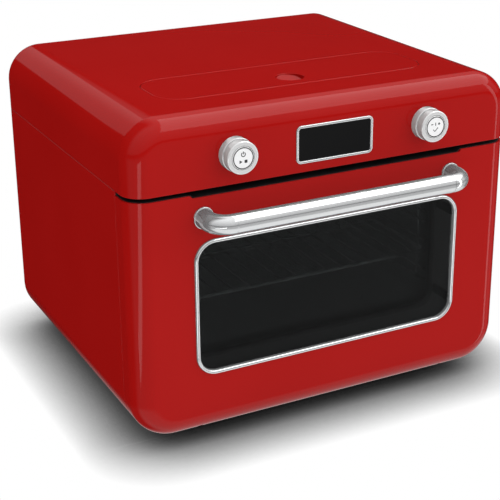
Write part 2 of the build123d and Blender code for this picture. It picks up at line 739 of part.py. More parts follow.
button_profile = [
    (0, BUTTON_FACE),
    (BUTTON_R - BUTTON_EDGE, BUTTON_FACE),
    (BUTTON_R, BUTTON_FACE + BUTTON_EDGE),
    (BUTTON_R, BUTTON_BACK),
    (BUTTON_STEM_R, BUTTON_BACK),
    (BUTTON_STEM_R, STEM_END),
    (0, STEM_END),
]
collar_profile = [
    (COLLAR_BORE_R, -COLLAR_PROUD),
    (COLLAR_R - KNOB_CHAMFER / 3, -COLLAR_PROUD),
    (COLLAR_R, KNOB_CHAMFER / 3 - COLLAR_PROUD),
    (COLLAR_R, 0),
    (COLLAR_THREAD_R, 0),
    (COLLAR_THREAD_R, COLLAR_THREAD),
    (COLLAR_BORE_R, COLLAR_THREAD),
]
encoder_profile = [
    (SLEEVE_R + RUNNING_GAP, ENCODER_FRONT),
    (ENCODER_R, ENCODER_FRONT),
    (ENCODER_R, BOARD_DEPTH),
    (SLEEVE_R + RUNNING_GAP, BOARD_DEPTH),
]
for side, knob_x in (("left", -KNOB_X), ("right", KNOB_X)):
    with BuildPart() as knob:
        add(turned(knob_x, KNOB_Z, knob_profile))
    keep(knob, f"knob_{side}")
    with BuildPart() as button:
        add(turned(knob_x, KNOB_Z, button_profile))
    keep(button, f"button_{side}")

with BuildPart() as knob_collars:
    for knob_x in (-KNOB_X, KNOB_X):
        add(turned(knob_x, KNOB_Z, collar_profile))
keep(knob_collars, "knob_collars")

with BuildPart() as knob_encoders:
    for knob_x in (-KNOB_X, KNOB_X):
        add(turned(knob_x, KNOB_Z, encoder_profile))
keep(knob_encoders, "knob_encoders")

# Control board behind the front, with a small switch under each button
with BuildPart() as control_board:
    with BuildSketch(upright(BOARD_DEPTH)):
        with Locations((0, KNOB_Z)):
            Rectangle(BOARD_WIDTH, BOARD_HEIGHT)
    extrude(amount=-BOARD_THICK)
    with BuildSketch(upright(BOARD_DEPTH)):
        with Locations((-KNOB_X, KNOB_Z), (KNOB_X, KNOB_Z)):
            Circle(SWITCH_R)
    extrude(amount=SWITCH_HEIGHT)
    with BuildSketch(upright(BOARD_DEPTH + BOARD_THICK)):
        with Locations((0, KNOB_Z)):
            with GridLocations(CHIP_PITCH, CHIP_SIZE, 4, 1):
                Rectangle(CHIP_SIZE, CHIP_SIZE)
    extrude(amount=-CHIP_HEIGHT)
keep(control_board, "control_board")

# Display: a chrome frame through the front, dark glass in it and the module behind
DISPLAY_IN_W = DISPLAY_WIDTH - 2 * DISPLAY_FRAME
DISPLAY_IN_H = DISPLAY_HEIGHT - 2 * DISPLAY_FRAME
DISPLAY_IN_R = DISPLAY_R - DISPLAY_FRAME / 2
with BuildPart() as display_trim:
    with BuildSketch(Plane.XZ.offset(-FRONT)):
        with Locations((DISPLAY_X, DISPLAY_Z)):
            RectangleRounded(DISPLAY_WIDTH, DISPLAY_HEIGHT, DISPLAY_R)
            RectangleRounded(DISPLAY_IN_W, DISPLAY_IN_H, DISPLAY_IN_R, mode=Mode.SUBTRACT)
    extrude(amount=DISPLAY_PROUD)
    fillet(display_trim.faces().sort_by(Axis.Y)[0].edges(), radius=DISPLAY_PROUD / 2)
    with BuildSketch(Plane.XZ.offset(-FRONT)):
        with Locations((DISPLAY_X, DISPLAY_Z)):
            RectangleRounded(DISPLAY_WIDTH - DISPLAY_FRAME, DISPLAY_HEIGHT - DISPLAY_FRAME, DISPLAY_IN_R)
            RectangleRounded(DISPLAY_IN_W, DISPLAY_IN_H, DISPLAY_IN_R, mode=Mode.SUBTRACT)
    extrude(amount=-DISPLAY_TUBE)
keep(display_trim, "display_trim")

with BuildPart() as display_glass:
    with BuildSketch(Plane.XZ.offset(-FRONT)):
        with Locations((DISPLAY_X, DISPLAY_Z)):
            RectangleRounded(DISPLAY_IN_W, DISPLAY_IN_H, DISPLAY_IN_R)
    extrude(amount=-DISPLAY_GLASS)
keep(display_glass, "display_glass")

with BuildPart() as display_module:
    with BuildSketch(upright(DISPLAY_GLASS)):
        with Locations((DISPLAY_X, DISPLAY_Z)):
            Rectangle(DISPLAY_IN_W - DISPLAY_FRAME, DISPLAY_IN_H - DISPLAY_FRAME)
    extrude(amount=-(BOARD_DEPTH - DISPLAY_GLASS))
keep(display_module, "display_module")

# Tank well: a tub hung under the housing's top, with a socket for the tank's valve
WELL_W = 2 * (LID_HALF_W + LID_SEAM)
WELL_D = LID_DEPTH + 2 * LID_SEAM
WELL_R = LID_R + LID_SEAM
DOCK_Y = LID_MID
DOCK_BOTTOM = WELL_BOTTOM - DOCK_DROP
with BuildPart() as tank_well:
    with BuildSketch(Plane.XY.offset(WELL_TOP)):
        with Locations((0, LID_MID)):
            RectangleRounded(WELL_W + 2 * WELL_FLANGE, WELL_D + 2 * WELL_FLANGE, WELL_R + WELL_FLANGE)
    extrude(amount=-WELL_WALL)
    with BuildSketch(Plane.XY.offset(WELL_TOP)):
        with Locations((0, LID_MID)):
            RectangleRounded(WELL_W + 2 * WELL_WALL, WELL_D + 2 * WELL_WALL, WELL_R + WELL_WALL)
    extrude(amount=-WELL_DEPTH)
    with BuildSketch(Plane.XY.offset(WELL_TOP)):
        with Locations((0, LID_MID)):
            RectangleRounded(WELL_W, WELL_D, WELL_R)
    extrude(amount=-(WELL_DEPTH - WELL_WALL), mode=Mode.SUBTRACT)
    with BuildSketch(Plane.XY.offset(WELL_BOTTOM + WELL_WALL)):
        with Locations((DOCK_X, DOCK_Y)):
            Circle(DOCK_R)
    extrude(amount=-(WELL_WALL + DOCK_DROP))
    with BuildSketch(Plane.XY.offset(WELL_BOTTOM + WELL_WALL)):
        with Locations((DOCK_X, DOCK_Y)):
            Circle(DOCK_BORE_R)
    extrude(amount=-(WELL_WALL + DOCK_DROP), mode=Mode.SUBTRACT)
keep(tank_well, "tank_well")

# Water tank: an open tub whose valve spout reaches into the well's socket
TANK_W = 2 * (LID_HALF_W - TANK_SLACK)
TANK_D = LID_DEPTH - 2 * TANK_SLACK
TANK_R = LID_R - TANK_SLACK
with BuildPart() as water_tank:
    with BuildSketch(Plane.XY.offset(TANK_BOTTOM)):
        with Locations((0, LID_MID)):
            RectangleRounded(TANK_W, TANK_D, TANK_R)
    extrude(amount=TANK_TOP - TANK_BOTTOM)
    fillet(water_tank.faces().sort_by(Axis.Z)[0].edges(), radius=TANK_EDGE_R)
    with BuildSketch(Plane.XY.offset(TANK_BOTTOM + TANK_WALL)):
        with Locations((0, LID_MID)):
            RectangleRounded(TANK_W - 2 * TANK_WALL, TANK_D - 2 * TANK_WALL, TANK_R - TANK_WALL)
    extrude(amount=TANK_TOP - TANK_BOTTOM, mode=Mode.SUBTRACT)
    with BuildSketch(Plane.XY.offset(TANK_BOTTOM + TANK_WALL)):
        with Locations((DOCK_X, DOCK_Y)):
            Circle(DOCK_BORE_R - BODY_GAP)
    extrude(amount=-(TANK_WALL + DOCK_DROP))
keep(water_tank, "water_tank")

# Tank lid: flush with the top, with a finger scoop that deepens towards the front
GRIP_Y = FRONT + LID_FRONT + GRIP_SETBACK
with BuildPart() as grip_scoop:
    with BuildSketch(Plane.YZ.offset(-GRIP_R)):
        with BuildLine():
            Polyline(
                (GRIP_Y - GRIP_R, TOP + 1),
                (GRIP_Y - GRIP_R, TOP - GRIP_DEPTH),
                (GRIP_Y + GRIP_R, TOP - GRIP_SHALLOW),
                (GRIP_Y + GRIP_R, TOP + 1),
                close=True,
            )
        make_face()
    extrude(amount=2 * GRIP_R)
    with BuildSketch(Plane.XY.offset(TOP - GRIP_DEPTH)):
        with Locations((0, GRIP_Y)):
            Circle(GRIP_R)
    extrude(amount=2 * GRIP_DEPTH, mode=Mode.INTERSECT)
with BuildPart() as tank_lid:
    with BuildSketch(Plane.XY.offset(TOP)):
        with Locations((0, LID_MID)):
            RectangleRounded(2 * LID_HALF_W, LID_DEPTH, LID_R)
    extrude(amount=-LID_THICK)
    fillet(tank_lid.faces().sort_by(Axis.Z)[-1].edges(), radius=LID_EDGE_R)
    with BuildSketch(Plane.XY.offset(TOP - LID_THICK)):
        with Locations((0, GRIP_Y)):
            Circle(GRIP_R + GRIP_WALL)
    extrude(amount=-(GRIP_DEPTH + GRIP_WALL - LID_THICK))
    add(grip_scoop.part, mode=Mode.SUBTRACT)
keep(tank_lid, "tank_lid")

# Front frame: the black fascia between the cavity's mouth and the casing
MOUTH_W = CAVITY_W + 2 * CAVITY_WALL
MOUTH_H = CAVITY_H + 2 * CAVITY_WALL
MOUTH_R = CAVITY_R + CAVITY_WALL
DUCT_LOW = HOUSING_Z - DUCT_HEIGHT
with BuildPart() as front_frame:
    with BuildSketch(Plane.XZ.offset(-FRAME_Y)):
        add(skin_inner_outline)
        with Locations((0, CAVITY_MID)):
            RectangleRounded(CAVITY_W, CAVITY_H, CAVITY_R, mode=Mode.SUBTRACT)
        with Locations((0, DUCT_LOW + DUCT_HEIGHT / 2)):
            Rectangle(2 * DUCT_HALF_W, DUCT_HEIGHT, mode=Mode.SUBTRACT)
        with Locations((DOOR_SWITCH_X, BASE + DOOR_SWITCH_LEVEL)):
            Circle(SWITCH_R, mode=Mode.SUBTRACT)
    extrude(amount=-(CAVITY_FRONT - FRAME_SETBACK))
    split(bisect_by=level(FRAME_LOW), keep=Keep.TOP)
    split(bisect_by=Plane.XY.offset(HOUSING_Z - SEAM), keep=Keep.BOTTOM)
keep(front_frame, "front_frame")

# Door seal: a soft ring on the frame round the cavity's mouth
SEAL_IN_W = CAVITY_W + 2 * SEAL_GAP
SEAL_IN_H = CAVITY_H + 2 * SEAL_GAP
SEAL_IN_R = CAVITY_R + SEAL_GAP
with BuildPart() as door_seal:
    with BuildSketch(Plane.XZ.offset(-FRAME_Y)):
        with Locations((0, CAVITY_MID)):
            RectangleRounded(SEAL_IN_W + 2 * SEAL_WIDTH, SEAL_IN_H + 2 * SEAL_WIDTH, SEAL_IN_R + SEAL_WIDTH)
            RectangleRounded(SEAL_IN_W, SEAL_IN_H, SEAL_IN_R, mode=Mode.SUBTRACT)
    extrude(amount=FRAME_Y - LINER_BACK - BODY_GAP)
    fillet(door_seal.faces().sort_by(Axis.Y)[0].edges(), radius=SEAL_WIDTH / 4)
keep(door_seal, "door_seal")

# Cavity liner: the stainless box, with holes for the shaft, lamp, probe, steam and heaters
CAVITY_TOP_Z = BASE + CAVITY_HIGH
LAMP_Y = FRONT + LAMP_DEPTH
LAMP_Z = BASE + LAMP_LEVEL
PROBE_Y = FRONT + PROBE_DEPTH
PROBE_Z = BASE + PROBE_LEVEL
NOZZLE_Y = FRONT + NOZZLE_DEPTH
NOZZLE_Z = BASE + NOZZLE_LEVEL
GRILL_Z = CAVITY_TOP_Z - GRILL_DROP
RING_Y = FRONT + FAN_FRONT + FAN_BLADE_DEPTH / 2
GRILL_PITCH = 2 * GRILL_HALF_W / (GRILL_RUNS - 1)
RING_TERMINALS = [(-HEATER_R * 3, FAN_Z + RING_R), (HEATER_R * 3, FAN_Z + RING_R)]
GRILL_TERMINALS = [(-GRILL_HALF_W, GRILL_Z), (GRILL_HALF_W, GRILL_Z)]
with BuildPart() as cavity_liner:
    with BuildSketch(upright(CAVITY_FRONT)):
        with Locations((0, CAVITY_MID)):
            RectangleRounded(MOUTH_W, MOUTH_H, MOUTH_R)
    extrude(amount=-(CAVITY_DEPTH + CAVITY_WALL))
    with BuildSketch(upright(CAVITY_FRONT)):
        with Locations((0, CAVITY_MID)):
            RectangleRounded(CAVITY_W, CAVITY_H, CAVITY_R)
    extrude(amount=-CAVITY_DEPTH, mode=Mode.SUBTRACT)
    with BuildSketch(upright(CAVITY_REAR)):
        with Locations((0, FAN_Z)):
            Circle(2 * SHAFT_R)
        with Locations(*RING_TERMINALS, *GRILL_TERMINALS):
            Circle(HEATER_R)
    extrude(amount=-CAVITY_WALL, mode=Mode.SUBTRACT)
    with BuildSketch(Plane.YZ.offset(CAVITY_HALF_W)):
        with Locations((LAMP_Y, LAMP_Z)):
            Circle(LAMP_R)
    extrude(amount=CAVITY_WALL, mode=Mode.SUBTRACT)
    with BuildSketch(Plane.YZ.offset(-CAVITY_HALF_W)):
        with Locations((NOZZLE_Y, NOZZLE_Z)):
            Circle(PIPE_R)
        with Locations((PROBE_Y, PROBE_Z)):
            Circle(PROBE_R)
    extrude(amount=-CAVITY_WALL, mode=Mode.SUBTRACT)
keep(cavity_liner, "cavity_liner")

# Insulation: mineral wool over the top, the sides and the back of the liner
WOOL_W = MOUTH_W + 2 * WOOL
WOOL_BACK = CAVITY_REAR + CAVITY_WALL + WOOL
with BuildPart() as insulation:
    with BuildSketch(upright(WOOL_FRONT)):
        with Locations((0, CAVITY_MID + WOOL / 2)):
            RectangleRounded(WOOL_W, MOUTH_H + WOOL, MOUTH_R)
    extrude(amount=-(WOOL_BACK - WOOL_FRONT))
    with BuildSketch(upright(WOOL_FRONT)):
        with Locations((0, CAVITY_MID)):
            RectangleRounded(MOUTH_W, MOUTH_H, MOUTH_R)
    extrude(amount=-(CAVITY_REAR + CAVITY_WALL - WOOL_FRONT), mode=Mode.SUBTRACT)
    split(bisect_by=level(CAVITY_LOW + CAVITY_R), keep=Keep.TOP)
    with BuildSketch(upright(CAVITY_REAR)):
        with Locations((0, FAN_Z)):
            Circle(2 * SHAFT_R)
        with Locations(*RING_TERMINALS, *GRILL_TERMINALS):
            Circle(HEATER_R)
    extrude(amount=-2 * WOOL, mode=Mode.SUBTRACT)
    with BuildSketch(Plane.YZ.offset(CAVITY_HALF_W)):
        with Locations((LAMP_Y, LAMP_Z)):
            Circle(LAMP_R + CAVITY_WALL)
    extrude(amount=2 * WOOL, mode=Mode.SUBTRACT)
    with BuildSketch(Plane.YZ.offset(-CAVITY_HALF_W)):
        with Locations((NOZZLE_Y, NOZZLE_Z)):
            Circle(PIPE_R)
        with Locations((PROBE_Y, PROBE_Z)):
            Circle(2 * PROBE_R)
    extrude(amount=-2 * WOOL, mode=Mode.SUBTRACT)
keep(insulation, "insulation")


# Racks: two uprights each side with pairs of rails, stood off the liner on studs
rail_levels = [
    BASE + RAIL_FIRST + i * RAIL_PITCH + pair * RAIL_PAIR for i in range(RAIL_LEVELS) for pair in (0, 1)
]
RACK_LOW = rail_levels[0] - UPRIGHT_MARGIN
RACK_HIGH = rail_levels[-1] + UPRIGHT_MARGIN
UPRIGHT_Y = (FRONT + UPRIGHT_FRONT, FRONT + UPRIGHT_REAR)
for side, sign in (("left", -1), ("right", 1)):
    with BuildPart() as rack:
        with BuildSketch(upright(RAIL_FRONT)):
            with Locations(*[(sign * RAIL_X, z) for z in rail_levels]):
                Circle(RAIL_R)
        extrude(amount=-(RAIL_REAR - RAIL_FRONT))
        with BuildSketch(Plane.XY.offset(RACK_LOW)):
            with Locations(*[(sign * UPRIGHT_X, y) for y in UPRIGHT_Y]):
                Circle(RAIL_R)
        extrude(amount=RACK_HIGH - RACK_LOW)
        with BuildSketch(Plane.YZ.offset(sign * UPRIGHT_X)):
            for y in UPRIGHT_Y:
                with Locations((y, rail_levels[1] + UPRIGHT_MARGIN), (y, rail_levels[-2] - UPRIGHT_MARGIN)):
                    Circle(STUD_R)
        extrude(amount=sign * (CAVITY_HALF_W - UPRIGHT_X))
    keep(rack, f"rack_{side}")

# Wire shelf: a bent frame with lengthwise wires and one cross bar, on the second rails
SHELF_Y = (FRONT + SHELF_FRONT, FRONT + SHELF_REAR)
SHELF_MID = (SHELF_Y[0] + SHELF_Y[1]) / 2
SHELF_WIRES = int(2 * (SHELF_HALF_W - SHELF_FRAME_R) / SHELF_PITCH)
frame_x = SHELF_HALF_W - SHELF_FRAME_R
half_frame = [
    (0, SHELF_Y[0], SHELF_Z),
    (frame_x, SHELF_Y[0], SHELF_Z),
    (frame_x, SHELF_Y[1], SHELF_Z),
    (0, SHELF_Y[1], SHELF_Z),
]
with BuildPart() as wire_shelf:
    add(tube_along(half_frame, [SHELF_CORNER_R, SHELF_CORNER_R], SHELF_FRAME_R))
    mirror(about=Plane.YZ)
    with BuildSketch(Plane.XZ.offset(-SHELF_Y[0])):
        with Locations((0, SHELF_Z)):
            with GridLocations(SHELF_PITCH, 1, SHELF_WIRES, 1):
                Circle(SHELF_WIRE_R)
    extrude(amount=-(SHELF_Y[1] - SHELF_Y[0]))
    with BuildSketch(Plane.YZ.offset(-frame_x)):
        with Locations((SHELF_MID, SHELF_Z - SHELF_WIRE_R / 2)):
            Circle(SHELF_WIRE_R)
    extrude(amount=2 * frame_x)
keep(wire_shelf, "wire_shelf")

# Fan baffle: a shallow perforated tray over the fan and the ring heater
baffle_mid = BASE + (BAFFLE_LOW + BAFFLE_HIGH) / 2
with BuildPart() as fan_baffle:
    with BuildSketch(upright(BAFFLE_FRONT)):
        with Locations((0, baffle_mid)):
            RectangleRounded(2 * BAFFLE_HALF_W, BAFFLE_HIGH - BAFFLE_LOW, CAVITY_R)
    extrude(amount=-(CAVITY_REAR - BAFFLE_FRONT))
    with BuildSketch(upright(BAFFLE_FRONT + PANEL_SHEET)):
        with Locations((0, baffle_mid)):
            RectangleRounded(
                2 * (BAFFLE_HALF_W - PANEL_SHEET),
                BAFFLE_HIGH - BAFFLE_LOW - 2 * PANEL_SHEET,
                CAVITY_R - PANEL_SHEET,
            )
    extrude(amount=-(CAVITY_REAR - BAFFLE_FRONT), mode=Mode.SUBTRACT)
    with BuildSketch(upright(BAFFLE_FRONT)):
        with Locations((0, FAN_Z)):
            Circle(INTAKE_R)
            for ring in range(1, INTAKE_RINGS + 1):
                with PolarLocations(ring * INTAKE_PITCH, 6 * ring):
                    Circle(INTAKE_R)
            with GridLocations(2 * OUTLET_X, OUTLET_PITCH, 2, OUTLET_COUNT):
                SlotOverall(OUTLET_LENGTH, 2 * INTAKE_R)
    extrude(amount=-PANEL_SHEET, mode=Mode.SUBTRACT)
keep(fan_baffle, "fan_baffle")

# Convection fan: a disc with upright blades on a shaft that runs through the rear wall
SHAFT_END = CAVITY_REAR + CAVITY_WALL + WOOL + MOTOR_LENGTH / 2
FAN_BACK = FAN_FRONT + FAN_BLADE_DEPTH
with BuildPart() as convection_fan:
    with BuildSketch(upright(FAN_BACK)):
        with Locations((0, FAN_Z)):
            Circle(FAN_R)
    extrude(amount=-FAN_DISC)
    with BuildSketch(upright(FAN_FRONT)):
        with Locations((0, FAN_Z)):
            with PolarLocations(FAN_R - FAN_BLADE_LENGTH / 2, FAN_BLADES):
                Rectangle(FAN_BLADE_LENGTH, FAN_DISC, rotation=BLADE_SLANT)
    extrude(amount=-FAN_BLADE_DEPTH)
    with BuildSketch(upright(FAN_FRONT + FAN_BLADE_DEPTH / 2)):
        with Locations((0, FAN_Z)):
            Circle(3 * SHAFT_R)
    extrude(amount=-FAN_BLADE_DEPTH / 2)
    with BuildSketch(upright(FAN_BACK)):
        with Locations((0, FAN_Z)):
            Circle(SHAFT_R)
    extrude(amount=-(SHAFT_END - FAN_BACK))
keep(convection_fan, "convection_fan")

# Fan motor: bolted behind the wool, with a blind running bore
MOTOR_FRONT = CAVITY_REAR + CAVITY_WALL + WOOL
with BuildPart() as fan_motor:
    with BuildSketch(upright(MOTOR_FRONT)):
        with Locations((0, FAN_Z)):
            Rectangle(3 * MOTOR_R, 0.8 * MOTOR_R)
            Circle(SHAFT_R + RUNNING_GAP, mode=Mode.SUBTRACT)
    extrude(amount=-PANEL_SHEET)
    with BuildSketch(upright(MOTOR_FRONT + PANEL_SHEET)):
        with Locations((0, FAN_Z)):
            Circle(MOTOR_R)
    extrude(amount=-(MOTOR_LENGTH - PANEL_SHEET))
    fillet(fan_motor.faces().sort_by(Axis.Y)[-1].edges(), radius=MOTOR_R / 8)
    with BuildSketch(upright(MOTOR_FRONT)):
        with Locations((0, FAN_Z)):
            Circle(SHAFT_R + RUNNING_GAP)
    extrude(amount=-(SHAFT_END - MOTOR_FRONT + BODY_GAP), mode=Mode.SUBTRACT)
keep(fan_motor, "fan_motor")

# Ring heater round the fan, with two terminals out through the back
TERMINAL_END = MOTOR_FRONT + TERMINAL_TAIL
with BuildPart() as ring_heater:
    with BuildSketch(Plane.XY.offset(FAN_Z)):
        with Locations((RING_R, RING_Y)):
            Circle(HEATER_R)
    revolve(axis=Axis((0, RING_Y, FAN_Z), (0, 1, 0)))
    with BuildSketch(Plane.XZ.offset(-RING_Y)):
        with Locations(*RING_TERMINALS):
            Circle(HEATER_R)
    extrude(amount=-(FRONT + TERMINAL_END - RING_Y))
keep(ring_heater, "ring_heater")

# Grill heater: one rod to and fro under the roof, with its ends out through the back
grill_points = [(-GRILL_HALF_W, FRONT + TERMINAL_END, GRILL_Z)]
for run in range(GRILL_RUNS):
    run_x = -GRILL_HALF_W + run * GRILL_PITCH
    turn_y = FRONT + (GRILL_FRONT if run % 2 == 0 else GRILL_REAR)
    if run:
        grill_points.append((run_x, last_turn, GRILL_Z))
    if run < GRILL_RUNS - 1:
        grill_points.append((run_x, turn_y, GRILL_Z))
    last_turn = turn_y
grill_points.append((GRILL_HALF_W, FRONT + TERMINAL_END, GRILL_Z))
with BuildPart() as grill_heater:
    add(tube_along(grill_points, [GRILL_TURN * GRILL_PITCH] * (len(grill_points) - 2), HEATER_R))
keep(grill_heater, "grill_heater")

# Oven lamp: a lens in the right wall and a lamp can behind it
with BuildPart() as lamp_lens:
    with BuildSketch(Plane.YZ.offset(CAVITY_HALF_W - CAVITY_WALL)):
        with Locations((LAMP_Y, LAMP_Z)):
            Circle(LAMP_R)
    extrude(amount=3 * CAVITY_WALL)
    fillet(lamp_lens.faces().sort_by(Axis.X)[0].edges(), radius=CAVITY_WALL / 2)
keep(lamp_lens, "lamp_lens")

LENS_BACK = CAVITY_HALF_W + 2 * CAVITY_WALL
with BuildPart() as oven_lamp:
    with BuildSketch(Plane.YZ.offset(CAVITY_HALF_W + CAVITY_WALL)):
        with Locations((LAMP_Y, LAMP_Z)):
            Circle(LAMP_R + CAVITY_WALL)
            Circle(LAMP_R, mode=Mode.SUBTRACT)
    extrude(amount=LAMP_CAN)
    with BuildSketch(Plane.YZ.offset(CAVITY_HALF_W + CAVITY_WALL + LAMP_CAN)):
        with Locations((LAMP_Y, LAMP_Z)):
            Circle(LAMP_R + CAVITY_WALL)
    extrude(amount=2 * CAVITY_WALL)
    with BuildSketch(Plane.YZ.offset(LENS_BACK + LAMP_CAN / 3)):
        with Locations((LAMP_Y, LAMP_Z)):
            Circle(LAMP_R / 2)
    extrude(amount=2 * LAMP_CAN / 3)
keep(oven_lamp, "oven_lamp")

# Temperature probe through the left wall
with BuildPart() as temperature_probe:
    with BuildSketch(Plane.YZ.offset(-CAVITY_HALF_W - CAVITY_WALL)):
        with Locations((PROBE_Y, PROBE_Z)):
            Circle(2 * PROBE_R)
    extrude(amount=-PROBE_R)
    with BuildSketch(Plane.YZ.offset(-CAVITY_HALF_W - CAVITY_WALL)):
        with Locations((PROBE_Y, PROBE_Z)):
            Circle(PROBE_R)
    extrude(amount=PROBE_LENGTH)
keep(temperature_probe, "temperature_probe")

# Base plate on the casing's floor, with two folded legs under the liner
LEG_TOP = BASE + CAVITY_LOW - CAVITY_WALL
BASE_BACK = BACK - REAR_EDGE_R - BASE_SHEET
with BuildPart() as base_plate:
    with BuildSketch(Plane.XY.offset(FLOOR_Z - BASE_SHEET)):
        with Locations((0, (FRONT + BASE_FRONT + BASE_BACK) / 2)):
            Rectangle(2 * BASE_HALF_W, BASE_BACK - FRONT - BASE_FRONT)
    extrude(amount=BASE_SHEET)
    with BuildSketch(Plane.XZ.offset(-(FRONT + LEG_FRONT))):
        for leg_x in (-LEG_X, LEG_X):
            with Locations((leg_x, (FLOOR_Z + LEG_TOP) / 2)):
                Rectangle(LEG_SIZE, LEG_TOP - FLOOR_Z)
                Rectangle(LEG_SIZE - 2 * BASE_SHEET, LEG_TOP - FLOOR_Z - 2 * BASE_SHEET, mode=Mode.SUBTRACT)
    extrude(amount=-LEG_LENGTH)
keep(base_plate, "base_plate")

# Feet: four tapered rubber feet under the casing
FOOT_Y = (FRONT + FOOT_INSET, BACK - FOOT_INSET)
with BuildPart() as feet:
    with BuildSketch():
        with Locations((0, (FOOT_Y[0] + FOOT_Y[1]) / 2)):
            with GridLocations(2 * FOOT_X, FOOT_Y[1] - FOOT_Y[0], 2, 2):
                Circle(FOOT_SOLE_R)
    extrude(amount=FOOT_HEIGHT, taper=-degrees(atan2(FOOT_R - FOOT_SOLE_R, FOOT_HEIGHT)))
keep(feet, "feet")

# Deck: the plate that closes the hood from below, with ways for the hose, pipe and air
BLOWER_Y = FRONT + BLOWER_DEPTH
OUTLET_Y = BLOWER_Y - BLOWER_HALF + 2 * AIR_SLOT
HOSE_X = CAVITY_HALF_W + CAVITY_WALL + WOOL + HOSE_SIDE
with BuildPart() as deck_plate:
    add(core_form)
    split(bisect_by=Plane.XY.offset(HOUSING_Z), keep=Keep.TOP)
    split(bisect_by=Plane.XY.offset(DECK_TOP), keep=Keep.BOTTOM)
    split(bisect_by=Plane.XZ.offset(-(PANEL_Y - PANEL_SHEET)), keep=Keep.TOP)
    with BuildSketch(Plane.XY.offset(HOUSING_Z)):
        with Locations((0, OUTLET_Y)):
            Rectangle(2 * BLOWER_HALF - 4 * AIR_SLOT, 2 * AIR_SLOT)
        with Locations((HOSE_X - BEND_R / 2, DOCK_Y)):
            SlotOverall(BEND_R + 2 * (HOSE_R + BODY_GAP), 2 * (HOSE_R + BODY_GAP))
    extrude(amount=DECK, mode=Mode.SUBTRACT)
keep(deck_plate, "deck_plate")

# Air duct: a shallow tray under the deck, from the blower to the slot above the door
DUCT_FRONT = FRONT + CAVITY_FRONT
DUCT_BACK = OUTLET_Y + 2 * AIR_SLOT
with BuildPart() as air_duct:
    with BuildSketch(Plane.XZ.offset(-DUCT_FRONT)):
        with Locations((0, DUCT_LOW + DUCT_HEIGHT / 2)):
            Rectangle(2 * DUCT_HALF_W, DUCT_HEIGHT)
    extrude(amount=-(DUCT_BACK - DUCT_FRONT))
    with BuildSketch(Plane.XZ.offset(-DUCT_FRONT)):
        with Locations((0, DUCT_LOW + DUCT_HEIGHT / 2 + DUCT_WALL / 2)):
            Rectangle(2 * (DUCT_HALF_W - DUCT_WALL), DUCT_HEIGHT - DUCT_WALL)
    extrude(amount=-(DUCT_BACK - DUCT_WALL - DUCT_FRONT), mode=Mode.SUBTRACT)
keep(air_duct, "air_duct")

# Blower: a bladed wheel in a box on the deck, hung from a motor over the inlet
BLOWER_TOP = DECK_TOP + BLOWER_HEIGHT
WHEEL_LOW = DECK_TOP + WHEEL_LIFT
WHEEL_TOP = WHEEL_LOW + WHEEL_HEIGHT
MOTOR_LOW = WHEEL_LOW + WHEEL_HEIGHT / 2
with BuildPart() as blower_housing:
    with BuildSketch(Plane.XY.offset(DECK_TOP)):
        with Locations((0, BLOWER_Y)):
            RectangleRounded(2 * BLOWER_HALF, 2 * BLOWER_HALF, BLOWER_HALF / 3)
    extrude(amount=BLOWER_HEIGHT)
    with BuildSketch(Plane.XY.offset(DECK_TOP)):
        with Locations((0, BLOWER_Y)):
            RectangleRounded(
                2 * (BLOWER_HALF - BLOWER_WALL),
                2 * (BLOWER_HALF - BLOWER_WALL),
                BLOWER_HALF / 3 - BLOWER_WALL,
            )
    extrude(amount=BLOWER_HEIGHT - BLOWER_WALL, mode=Mode.SUBTRACT)
    with BuildSketch(Plane.XY.offset(BLOWER_TOP)):
        with Locations((0, BLOWER_Y)):
            Circle(BLOWER_INLET_R)
    extrude(amount=-BLOWER_WALL, mode=Mode.SUBTRACT)
keep(blower_housing, "blower_housing")

with BuildPart() as blower_motor:
    with BuildSketch(Plane.XY.offset(BLOWER_TOP)):
        with Locations((0, BLOWER_Y)):
            with PolarLocations(0.0, 3, start_angle=90):
                with Locations((BLOWER_INLET_R / 2 + BLOWER_MOTOR_R / 4, 0)):
                    Rectangle(BLOWER_INLET_R + BLOWER_MOTOR_R / 2, BLOWER_MOTOR_R / 3)
    extrude(amount=BLOWER_WALL)
    with BuildSketch(Plane.XY.offset(MOTOR_LOW)):
        with Locations((0, BLOWER_Y)):
            Circle(BLOWER_MOTOR_R)
    extrude(amount=BLOWER_TOP + BLOWER_WALL - MOTOR_LOW)
    with BuildSketch(Plane.XY.offset(MOTOR_LOW)):
        with Locations((0, BLOWER_Y)):
            Circle(SHAFT_R + RUNNING_GAP)
    extrude(amount=WHEEL_HEIGHT / 3 + BODY_GAP, mode=Mode.SUBTRACT)
keep(blower_motor, "blower_motor")

